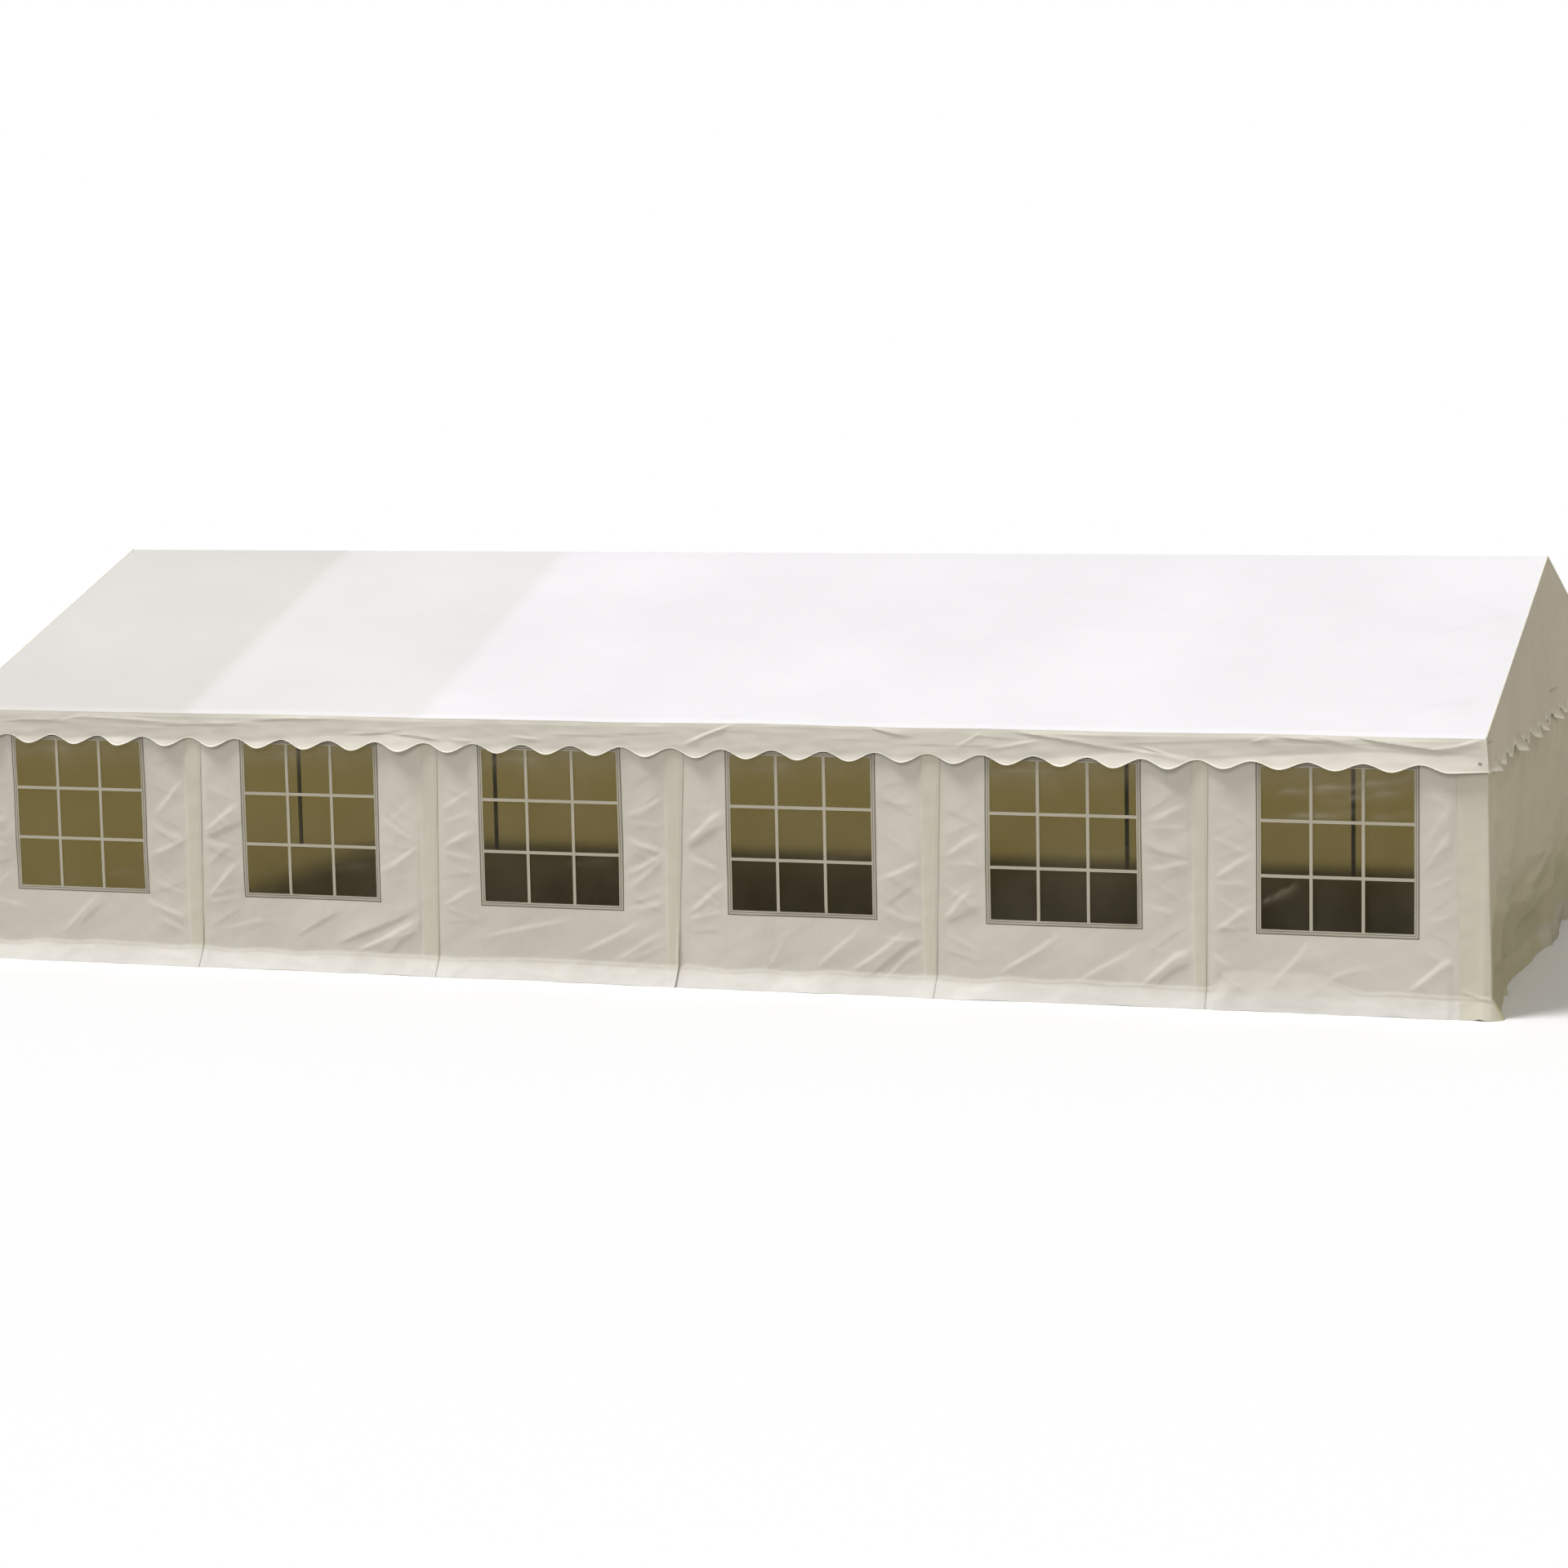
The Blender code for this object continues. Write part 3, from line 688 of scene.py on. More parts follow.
def steel_material(name, colour, roughness):
    """Zinc-coated tube: grey flakes, dull patches, and a little brown where it is worn."""
    material, tree, shader = new_material(name)
    where = add_node(tree, "TexCoord").outputs["Object"]
    flakes = add_node(tree, "TexVoronoi", Vector=where, Scale=55.0).outputs["Distance"]
    cloud = noise(tree, where, 3.0, 5.0)
    tone = blend_colours(tree, flakes, shade_of(colour, 1.15), shade_of(colour, 0.75))
    worn = in_range(tree, cloud, 0.56, 0.72, 0.0, 0.45)
    tone = blend_colours(tree, worn, tone, (0.16, 0.12, 0.085))
    tree.links.new(tone, shader.inputs["Base Color"])
    tree.links.new(in_range(tree, cloud, 0.3, 0.7, roughness, roughness + 0.22), shader.inputs["Roughness"])
    shader.inputs["Metallic"].default_value = 0.75
    grain = add_node(tree, "Bump", Strength=0.25, Distance=0.001, Height=noise(tree, where, 90.0, 3.0))
    tree.links.new(grain.outputs["Normal"], shader.inputs["Normal"])
    return material


def eave_wander(x, side):
    """The eave line's small rise and fall along the tent."""
    seed = 31 if side < 0 else 32
    return 0.005 * ripples(x, 0.0 * x, seed, 2.6, 5) + 0.0015 * ripples(x, 0.0 * x, seed + 2, 0.45, 5)


def roof_surface(side):
    """One slope as a grid, from the rounded eave up to the rounded ridge.

    The height falls evenly from the ridge with the distance from it. Between the tubes it hangs by
    a product of squared sines, and small waves and creases are added square to the slope.
    """
    columns = grid_lines(LEFT_X, (RIGHT_X, 260 if side < 0 else 150))
    length = HALF_WIDTH / math.cos(SLOPE_ANGLE)
    rows = grid_lines(0.0, (0.05, 5), (0.30, 8), (length - 0.04, 42), (length, 3))
    x, up = np.meshgrid(columns, rows)
    reach = (length - up) * math.cos(SLOPE_ANGLE)
    along = x - LEG_X[0]
    held = np.sin(math.pi * along / BAY_LENGTH) ** 2 * np.sin(math.pi * np.clip(up / length, 0, 1) * 2) ** 2
    inside = between(along, -0.05, 12.05, 0.25) * between(up, 0.0, length, 0.20)
    lift = -0.014 * held
    lift = lift + inside * 0.0025 * ripples(x, up, 41 + side, 0.55, 8)
    lift = lift + inside * 0.0030 * crinkles(x, up, 43 + side, 0.7, 5)
    tight = np.exp(-(((along + 0.6) % BAY_LENGTH - 0.6) / 0.05) ** 2)
    lift = lift + inside * 0.0030 * tight
    for start_x, start_up, end_x, end_up, height in (
            (12.02, 2.17, 11.25, 1.49, 0.026), (11.85, 0.62, 11.44, 0.33, 0.026),
            (11.9, 1.2, 11.2, 0.8, 0.010), (3.1, 1.0, 3.4, 1.5, 0.006), (3.5, 0.7, 3.8, 1.2, 0.006),
            (4.1, 1.9, 4.3, 2.3, 0.006), (0.1, 1.9, 0.7, 1.3, 0.006), (0.1, 0.7, 0.6, 0.35, 0.006)):
        lift = lift + inside * crease(along, up, (start_x, start_up), (end_x, end_up), height, 0.03)
    near_eave = between(up, 0.0, 0.30, 0.05)
    lift = lift + 0.004 * near_eave * crinkles(x, 2 * up, 47 + side, 0.45, 6)
    drop = 0.011 * (1 - smooth(up / 0.05)) + 0.002 * (1 - smooth((length - up) / 0.04))
    y = RIDGE_Y + side * (reach + lift * math.sin(SLOPE_ANGLE))
    z = RIDGE_Z - SLOPE * reach + lift * math.cos(SLOPE_ANGLE) - drop
    z = z + eave_wander(x, side) * (1 - smooth(up / 0.5))
    points = np.stack([x, y, z], axis=-1)
    pattern = np.stack([x, up], axis=-1)
    if side > 0:
        points = points[:, ::-1]
        pattern = pattern[:, ::-1]
    return points, pattern, length


def scallop(place_along, first):
    """Height of the wavy edge: a cosine of the pitch with its high points at whole pitches."""
    wave = 0.5 + 0.5 * np.cos(2 * math.pi * (place_along - first) / SCALLOP_PITCH)
    return EDGE_TIP + (EDGE_VALLEY - EDGE_TIP) * wave


def valance_edge(x, side):
    """The valance's lower edge, level beyond the last tip before a corner and shallower near it."""
    straight = (x < LEG_X[0] + 0.2) | (x > LEG_X[-1] - 0.2)
    edge = np.where(straight, EDGE_TIP, scallop(x, LEG_X[0]))
    pulled = smooth((x - LEG_X[-2] + 0.3) / 0.8) * (side < 0)
    return EDGE_VALLEY + (edge - EDGE_VALLEY) * (1 - 0.22 * pulled) + 0.008 * smooth((x - LEG_X[-1] + 0.2) / 0.25)


def valance_out(x, share, side, lean):
    """How far a valance stands out at a share of its drop.

    A steady lean, long slow waves, listed creases, stretches whose lower part is flipped
    outwards, and tips that curl. At the corners only the lean is left.
    """
    along = x - LEG_X[0] if side < 0 else LEG_X[-1] - x
    seed = 51 if side < 0 else 61
    drop = EAVE_Z - EDGE_TIP
    out = 0.009 * share * ripples(along, 0 * along, seed, 1.5, 6)
    out = out + 0.0030 * share ** 0.5 * ripples(along, share * 0.8, seed + 1, 0.35, 8)
    out = out + 0.0060 * between(share, 0.0, 1.3, 0.2) * crinkles(along, share * 0.6, seed + 2, 0.5, 6)
    for start_x, start_share, end_x, end_share, height in VALANCE_CREASES:
        out = out + crease(along, (1 - share) * drop, (start_x, (1 - start_share) * drop),
                           (end_x, (1 - end_share) * drop), 2.3 * height, 0.011, 2.2)
    draw = np.random.default_rng(seed + 3)
    for start_x in np.arange(0.0, 12.0, 0.55):
        start_share, rise = draw.uniform(0.08, 0.45), draw.uniform(-0.14, 0.14)
        end_x = start_x + draw.uniform(0.5, 1.1)
        height = draw.choice((-1, 1)) * draw.uniform(0.003, 0.006)
        out = out + crease(along, (1 - share) * drop, (start_x, (1 - start_share) * drop),
                           (end_x, (1 - start_share - rise) * drop), height, 0.009, 2.5)
    flips = np.interp(along, FLIP_AT, FLIP_SIZE)
    line = np.interp(along, FLIP_AT, FLIP_LINE)
    out = out + 0.012 * flips * (smooth(share / 0.12) - np.minimum(share / line, 1.0))
    out = out + 0.050 * flips * (np.clip(share - line, 0, 1) / np.maximum(1 - line, 0.25)) ** 1.1
    tips = 0.5 - 0.5 * np.cos(2 * math.pi * (x - LEG_X[0]) / SCALLOP_PITCH)
    out = out + 0.010 * tips * np.clip((share - 0.8) / 0.2, 0, 1) ** 1.5
    free = smooth((12.07 - along) / 0.10) * smooth((along + 0.07) / 0.10)
    return (lean * share + free * out) * smooth(share / 0.08 + 0.15)


def valance_surface(side, lean, rows, columns):
    """A valance as a grid: columns run along the eave and rows run up from the scalloped edge."""
    x, row = np.meshgrid(columns, rows)
    top = EAVE_Z - 0.010 + eave_wander(x, side)
    edge = valance_edge(x, side)
    share = (1.0 - row) * (top - edge) / (top - EDGE_TIP)
    z = edge + row * (top - edge)
    out = valance_out(x, share, side, lean)
    eave = EAVE_FRONT_Y if side < 0 else EAVE_REAR_Y
    corner = smooth((x - RIGHT_X + 0.12) / 0.12) - smooth((LEFT_X + 0.12 - x) / 0.12)
    wide = x + corner * (lean * share)
    points = np.stack([wide, eave + side * out, z], axis=-1)
    pattern = np.stack([x, z], axis=-1)
    if side > 0:
        points = points[:, ::-1]
        pattern = pattern[:, ::-1]
    return points, pattern


def binding_points(points, up):
    """The lowest stretch of a hanging sheet moved out by the binding's own thickness."""
    normals = grid_normals(points)
    return (points + 0.0012 * normals)[:up]


def rake_height(y):
    return RIDGE_Z - SLOPE * np.abs(y - RIDGE_Y)


def gable_out(y, z, share, side):
    """How far a gable flap stands out: slow swells, creases, and tips that flare outwards.

    The flare grows over the last 10 cm and follows a saw wave of one scallop's pitch, short on the
    side that faces the front, of a size that changes from tip to tip.
    """
    seed = 71 if side > 0 else 81
    hung = smooth((1 - share) / 0.15)
    out = 0.026 * between(share, 0.0, 1.0, 0.3) * ripples(y, 0.8 * z, seed, 1.2, 6)
    out = out + 0.0080 * hung * ripples(0.4 * y, z, seed + 1, 0.30, 8)
    out = out + 0.0450 * hung * crinkles(0.35 * y, z, seed + 3, 0.36, 6)
    turn = (y - RIDGE_Y - 0.2) / SCALLOP_PITCH - 0.36 + 0.08 * ripples(y, 0 * y, seed + 2, 1.0, 4)
    phase = turn - np.floor(turn)
    saw = np.where(phase < 0.13, phase / 0.13, (1 - phase) / 0.87)
    size = 0.60 + 0.40 * np.sin(2.4 * np.floor(turn) + 1.0)
    flare = np.clip((EDGE_VALLEY + 0.035 - z) / 0.10, 0, 1)
    return out + 0.018 * smooth((EDGE_TIP + 0.35 - z) / 0.35) + 0.085 * size * (0.3 + 0.7 * saw) * flare


def gable_surface(side, lean, steps):
    """A gable flap as a grid: columns run across the tent, rows up from the edge to the rake."""
    half = HALF_WIDTH
    columns = grid_lines(RIDGE_Y - half, (RIDGE_Y, steps), (RIDGE_Y + half, steps))
    rows = grid_lines(0.0, (1.0, 40)) ** 1.5
    y, row = np.meshgrid(columns, rows)
    near_corner = np.abs(y - RIDGE_Y) > half - 0.20
    edge = np.where(near_corner, EDGE_TIP + 0.01, scallop(y, RIDGE_Y + 0.2))
    top = rake_height(y) - 0.008
    z = edge + row * (top - edge)
    corner = smooth((np.abs(y - RIDGE_Y) - half + 0.20) / 0.20)
    swell = gable_out(y, z, row, side)
    drop_share = np.clip((EAVE_Z - z) / (EAVE_Z - EDGE_TIP), 0, 1)
    out = swell * (1 - corner) + corner * lean * drop_share
    out = out * smooth((1 - row) / 0.04 + 0.1)
    face = RIGHT_X if side > 0 else LEFT_X
    wide = y + np.sign(y - RIDGE_Y) * corner * lean * drop_share
    points = np.stack([face + side * out, wide, z], axis=-1)
    pattern = np.stack([y, z], axis=-1)
    marks = smooth((0.045 - (z - edge)) / 0.03)
    if side < 0:
        points, pattern, marks = points[:, ::-1], pattern[:, ::-1], marks[:, ::-1]
    return points, pattern, marks


def wall_swell(bay, along, z):
    """How far the front wall stands out in a bay, without its lap and skirt.

    Slow swells and crinkles held flat at the legs and under the eave, with the bay's own creases.
    Inside the window the film keeps the sheet nearly flat.
    """
    end = 1.84 if bay == BAYS - 1 else 1.95
    held = smooth((along - 0.07) / 0.06) * smooth((end - along) / 0.06) * smooth((WALL_TOP - z) / 0.22)
    swell = 0.011 * ripples(along, z, 101 + bay, 1.3, 6)
    swell = swell + 0.0028 * ripples(along, 0.6 * z, 111 + bay, 0.42, 8)
    swell = swell + 0.0085 * crinkles(along, z, 121 + bay, 0.45, 6)
    for start_x, end_x in ((0.09, WINDOW_LEFT - 0.02), (1.91, WINDOW_RIGHT + 0.02)):
        draw = np.random.default_rng(int(131 + bay + 10 * start_x))
        for number in range(8):
            start_z = 0.35 + 0.18 * number + draw.uniform(-0.07, 0.07)
            end_z = start_z + draw.uniform(-0.26, 0.26)
            height = draw.choice((-1, 1)) * draw.uniform(0.0025, 0.0065)
            swell = swell + crease(along, z, (start_x, start_z), (end_x, end_z), height, 0.011, 3.5)
    for start_x, start_z, end_x, end_z, height in BAY_CREASES[bay]:
        swell = swell + crease(along, z, (start_x, start_z), (end_x, end_z), 1.5 * height, 0.018)
    inside = between(along, WINDOW_LEFT, WINDOW_RIGHT, 0.07) * between(z, WINDOW_SILL, WINDOW_TOP, 0.07)
    return held * swell * (1 - 0.8 * inside)


def skirt_out(x, z, values):
    """How far the foot of the front wall stands out: a straight slant under a creased fold line.

    In the first half of the last bay the fold line lies higher, so the sheet slants gently there.
    """
    past = x - LEG_X[-2]
    high_fold = smooth((past - 0.09) / 0.12) * (1 - smooth((past - 0.75) / 0.5))
    fold = values.skirt_height + 0.010 * ripples(x, 0 * x, 141, 1.4, 5) + 0.010 * ripples(x, 0 * x, 146, 0.4, 5)
    fold = fold + 0.15 * high_fold
    share = np.clip((fold - z) / fold, 0, 1)
    reach = values.skirt_out * (1 - 0.3 * smooth((x - LEG_X[4]) / 1.5))
    reach = reach + 0.010 * ripples(x, 0 * x, 142, 0.9, 6) + 0.007 * ripples(x, 0 * x, 144, 0.33, 5)
    crumple = 0.007 * smooth(share / 0.25) * crinkles(x, 2 * z, 143, 0.24, 7)
    lip = 0.005 * (1 - high_fold) * np.exp(-((z - fold + 0.004) / 0.011) ** 2)
    return reach * share ** 1.05 + crumple + lip


def wall_surface(bay, values):
    """A front wall panel as a grid of distance past its left leg and height.

    The panel stands out by its swell and its skirt. Its last stretch is a lap over the next panel
    with a sewn hem, 6 mm proud, whose two edges lean as measured on each leg.
    """
    last = bay == BAYS - 1
    left = -0.13 if bay == 0 else -0.03
    lap_start = BAY_LENGTH - 0.065
    stops = [left, (WINDOW_LEFT, 30), (WINDOW_RIGHT, 82)]
    stops += [(1.985, 28)] if last else [(lap_start - 0.015, 24), (2.08, 20)]
    columns = grid_lines(*stops)
    rows = grid_lines(0.001, (0.20, 22), (WINDOW_SILL, 25), (WINDOW_TOP, 76), (WALL_TOP, 10))
    along, z = np.meshgrid(columns, rows)
    x = LEG_X[bay] + along
    marks = np.zeros_like(z)
    lap = 0.0
    if not last:
        top_left, low_left, top_right, low_right = LAP_EDGES[bay]
        down = 1 - np.clip(z / 1.8, 0, 1)
        edge_left = top_left + (low_left - top_left) * down
        edge_right = top_right + (low_right - top_right) * down
        share = (along - lap_start) / (2.08 - lap_start)
        moved = LEG_X[bay + 1] + edge_left + share * (edge_right - edge_left)
        before = x + (edge_left + 0.065) * smooth((along - 1.80) / (lap_start - 1.80))
        x = np.where(share > 0, moved, before)
        lap = 0.006 * smooth((share + 0.09) / 0.15) + 0.003 * np.sin(math.pi * np.clip(share, 0, 1))
        lap = lap + 0.0016 * np.exp(-((share - 0.78) / 0.05) ** 2) - 0.0015 * smooth((share - 0.9) / 0.1)
        lap = lap + 0.0010 * ripples(3 * share, z, 151 + bay, 0.3, 5)
        loose = 0.014 if bay == 2 else 0.002
        lap = lap + loose * smooth((0.55 - z) / 0.35) * smooth((share - 0.6) / 0.4)
        # The lap is coloured darker and greener than the wall: painted shade.
        marks = smooth((share + 0.02) / 0.04)
    out = wall_swell(bay, along, z) + skirt_out(x, z, values) + lap
    y = WALL_Y - out
    if bay == 0:
        turned = np.clip(-0.036 - along, 0, None)
        x = np.maximum(x, LEG_X[0] - 0.036)
        y = y + turned
    lifted = np.clip(0.003 * ripples(x, 0 * x, 145, 0.5, 6), 0, None) * smooth((0.12 - z) / 0.12)
    points = np.stack([x, y, z + lifted], axis=-1)
    pattern = np.stack([x, z + 0.3 * out], axis=-1)
    across = (columns[:-1] + columns[1:]) / 2
    upward = (rows[:-1] + rows[1:]) / 2
    cut = ((across > WINDOW_LEFT) & (across < WINDOW_RIGHT))[None, :] & (
        (upward > WINDOW_SILL) & (upward < WINDOW_TOP))[:, None]
    return points, pattern, ~cut, marks


def window_grid(bay, columns, rows, proud):
    """A grid in a window's opening that follows the wall's swell, standing out by proud."""
    along, z = np.meshgrid(columns, rows)
    out = wall_swell(bay, along, z) + proud
    points = np.stack([LEG_X[bay] + along, WALL_Y - out, z], axis=-1)
    return points, np.stack([along, z], axis=-1)


def bar_edges(start, end, values):
    """Edges of the border and the bars across an opening, as (from, to) pairs."""
    panes = values.panes
    start = start + values.edge_width
    end = end - values.edge_width
    inner = end - start - 2 * values.border_width
    pane = (inner - (panes - 1) * values.bar_width) / panes
    edges = [(start, start + values.border_width)]
    for number in range(1, panes):
        place_of = start + values.border_width + number * pane + (number - 1) * values.bar_width
        edges.append((place_of, place_of + values.bar_width))
    return edges + [(end - values.border_width, end)]


def bar_lines(edges):
    """Grid lines that include both edges and the middle of every bar, and steps in each pane."""
    stops = [edges[0][0]]
    for number, (start, end) in enumerate(edges):
        if number:
            stops.append((start, 8))
        stops.append((end, 2))
    return grid_lines(*stops)


def in_bars(places, edges):
    centres = (places[:-1] + places[1:]) / 2
    return np.any([(centres > start) & (centres < end) for start, end in edges], axis=0)


def film_piece(bay, values, material):
    """The clear film, waved by a few long wrinkles that are strongest in the last window."""
    columns = grid_lines(WINDOW_LEFT + 0.004, (WINDOW_RIGHT - 0.004, 32))
    rows = grid_lines(WINDOW_SILL + 0.004, (WINDOW_TOP - 0.004, 36))
    points, pattern = window_grid(bay, columns, rows, -0.0035)
    along, z = np.meshgrid(columns, rows)
    loose = between(along, WINDOW_LEFT, WINDOW_RIGHT, 0.12) * between(z, WINDOW_SILL, WINDOW_TOP, 0.12)
    inward = 0.0022 * (1 + ripples(along, z, 161 + bay, 0.5, 6))
    # Marks: a lighter band over the top 30 cm, and painted highlight along each wrinkle.
    marks = 0.25 * smooth((z - WINDOW_TOP + 0.30) / 0.30)
    wrinkles = FILM_WRINKLES if bay == BAYS - 1 else [
        (0.45 + 0.3 * math.sin(3 * bay), 1.66, 0.95, 1.71, 0.4), (1.1, 0.7 + 0.1 * bay, 1.5, 0.75 + 0.1 * bay, 0.2)]
    for start_x, start_z, end_x, end_z, size in wrinkles:
        line = crease(along, z, (start_x, start_z), (end_x, end_z), 1.0, 0.012, 1.6)
        marks = marks + size * line
        inward = inward + 0.005 * size * (1 - line)
    points[..., 1] += loose * inward
    mesh = cloth_mesh(
        f"film_{bay + 1}", points, pattern, values.film_thickness, marks=np.clip(marks, 0, 1))
    return place(mesh, material, "window_film", (f"window_film_{bay + 1}",))


def bar_piece(bay, values, material):
    """The border and the bars of a window as one flat lattice over the film."""
    across = bar_edges(WINDOW_LEFT, WINDOW_RIGHT, values)
    upward = bar_edges(WINDOW_SILL, WINDOW_TOP, values)
    columns = bar_lines(across)
    rows = bar_lines(upward)
    points, pattern = window_grid(bay, columns, rows, 0.0005)
    keep = in_bars(rows, upward)[:, None] | in_bars(columns, across)[None, :]
    mesh = cloth_mesh(f"window_bars_{bay + 1}", points, pattern, 0.0030, keep)
    return place(mesh, material, "wall_fabric")


def ring_piece(name, bay, inset, wide, proud, material):
    """A flat dark line that runs round a window at an inset from its edge."""
    left, right = WINDOW_LEFT + inset, WINDOW_RIGHT - inset
    sill, top = WINDOW_SILL + inset, WINDOW_TOP - inset
    columns = grid_lines(left, (left + wide, 2), (right - wide, 60), (right, 2))
    rows = grid_lines(sill, (sill + wide, 2), (top - wide, 60), (top, 2))
    points, pattern = window_grid(bay, columns, rows, proud)
    inner = np.zeros((len(rows) - 1, len(columns) - 1), bool)
    inner[2:-2, 2:-2] = True
    mesh = cloth_mesh(f"{name}_{bay + 1}", points, pattern, 0.0022 + proud, ~inner)
    return place(mesh, material, "wall_fabric")


def end_wall_surface(side, values):
    """One half of the end wall with the strip that turns round its corner leg.

    s runs along the ground: below 0 on the strip, above 0 on the end. (s +- sqrt(s^2 + r^2)) / 2
    rounds the corner between both, and the corner itself leans out towards the ground.
    """
    strip = values.corner_strip
    half = abs((WALL_Y if side < 0 else REAR_WALL_Y) - RIDGE_Y)
    overlap = 0.02 if side < 0 else 0.0
    way = grid_lines(-strip, (-0.03, 16), (0.03, 16), (half + overlap, 170 if side < 0 else 120))
    rows = grid_lines(0.001, (0.20, 20), (0.7, 28), (END_TOP, 62))
    s, z = np.meshgrid(way, rows)
    bend = np.sqrt(s * s + 0.010 ** 2)
    before, after = (s - bend) / 2, (s + bend) / 2
    on_end = (1 + s / bend) / 2
    down = 1 - np.clip(z / END_TOP, 0, 1)
    corner_x = END_X + 0.024 + 0.040 * down
    strip_x = END_X - 0.197 + 0.035 * down
    stand = 0.0085 if side < 0 else 0.003
    scale = (half + stand + overlap) / (half + overlap)
    face = WALL_Y - stand if side < 0 else REAR_WALL_Y + stand
    from_front = s if side < 0 else 2 * half - s
    x = END_X + (corner_x - END_X) * np.exp(-(after / 0.45) ** 2) + before * (corner_x - strip_x) / strip
    hem, ragged = end_hem(from_front, s, z, values)
    join = 0.004 * smooth((s - half + 0.05) / 0.03) if side < 0 else 0.0
    out_end = end_swell(from_front, z, s) + hem + join
    out_strip = skirt_out(x, z, values) + strip_detail(s, z)
    x = x + on_end * out_end
    y = face + side * ((1 - on_end) * out_strip - after * scale)
    points = np.stack([x, y, z + ragged], axis=-1)
    pattern = np.stack([s, z], axis=-1)
    # Marks: the lap colour on the corner strip, painted shade of a double layer; on the foot beyond 2.85 m from the
    # front corner, painted light.
    marks = smooth((0.01 - s) / 0.01) + 0.9 * smooth((0.20 - z) / 0.05) * smooth((from_front - 2.85) / 0.10)
    if side > 0:
        points, pattern, marks = points[:, ::-1], pattern[:, ::-1], marks[:, ::-1]
    return points, pattern, marks


def strip_detail(s, z):
    """Fine shape of the corner strip: an upright soft fold, small waves and a pinched crease."""
    fold = 0.006 * np.exp(-((s + 0.055 - 0.02 * z) / 0.022) ** 2) * smooth((1.2 - z) / 0.8)
    waves = 0.0020 * ripples(s, 0.25 * z, 186, 0.13, 5)
    pinch = 0.006 * np.exp(-((z - 0.135 + 0.3 * s) / 0.012) ** 2)
    return (fold + waves + pinch) * smooth((s + 0.20) / 0.04)


def end_hem(from_front, s, z, values):
    """The end wall's foot: how far it stands out, and how far its lowest edge is rucked up."""
    hem = np.interp(from_front, END_HEM_AT, END_HEM_OUT) + 0.008 * ripples(s, 0 * s, 173, 0.6, 5)
    fold = values.skirt_height + 0.02 * ripples(s, 0 * s, 175, 1.2, 4)
    steep = np.clip((fold - z) / fold, 0, 1)
    pulled = np.minimum(hem, 0.0)
    out = pulled * smooth((0.75 - z) / 0.75) + np.maximum(hem, 0.0) * steep
    out = out + (0.03 - pulled * 0.4) * steep * (pulled < 0)
    out = out + 0.010 * smooth(steep / 0.3) * crinkles(s, 2 * z, 177, 0.20, 7)
    rucks = 0.008 * np.exp(-((s + 0.075) / 0.02) ** 2) + 0.010 * np.exp(-((s - 0.06) / 0.03) ** 2)
    rucks = rucks + 0.012 * np.clip(ripples(s, 0 * s, 178, 0.25, 5), 0, None) * smooth((0.5 - s) / 0.2)
    return out, rucks * smooth((0.13 - z) / 0.13)


def end_swell(from_front, z, s):
    """Swells of the end wall: soft upright folds under the top edge, and slanting creases lower."""
    body = smooth((s - 0.02) / 0.25)
    top = smooth((END_TOP - z) / 0.25)
    fall = np.exp(-((END_TOP - z) / 0.9) ** 2)
    upright = 0.020 * fall * ripples(from_front, 0.12 * z, 181, 0.40, 7)
    slow = 0.036 * ripples(from_front, z, 182, 1.6, 6)
    small = 0.008 * ripples(0.4 * from_front, z, 183, 0.28, 8) + 0.070 * crinkles(0.35 * from_front, z, 184, 0.42, 7)
    total = upright + slow + small
    for start_x, start_z, end_x, end_z, height in END_CREASES:
        total = total + crease(from_front, z, (start_x, start_z), (end_x, end_z), 1.7 * height, 0.04)
    return body * top * total


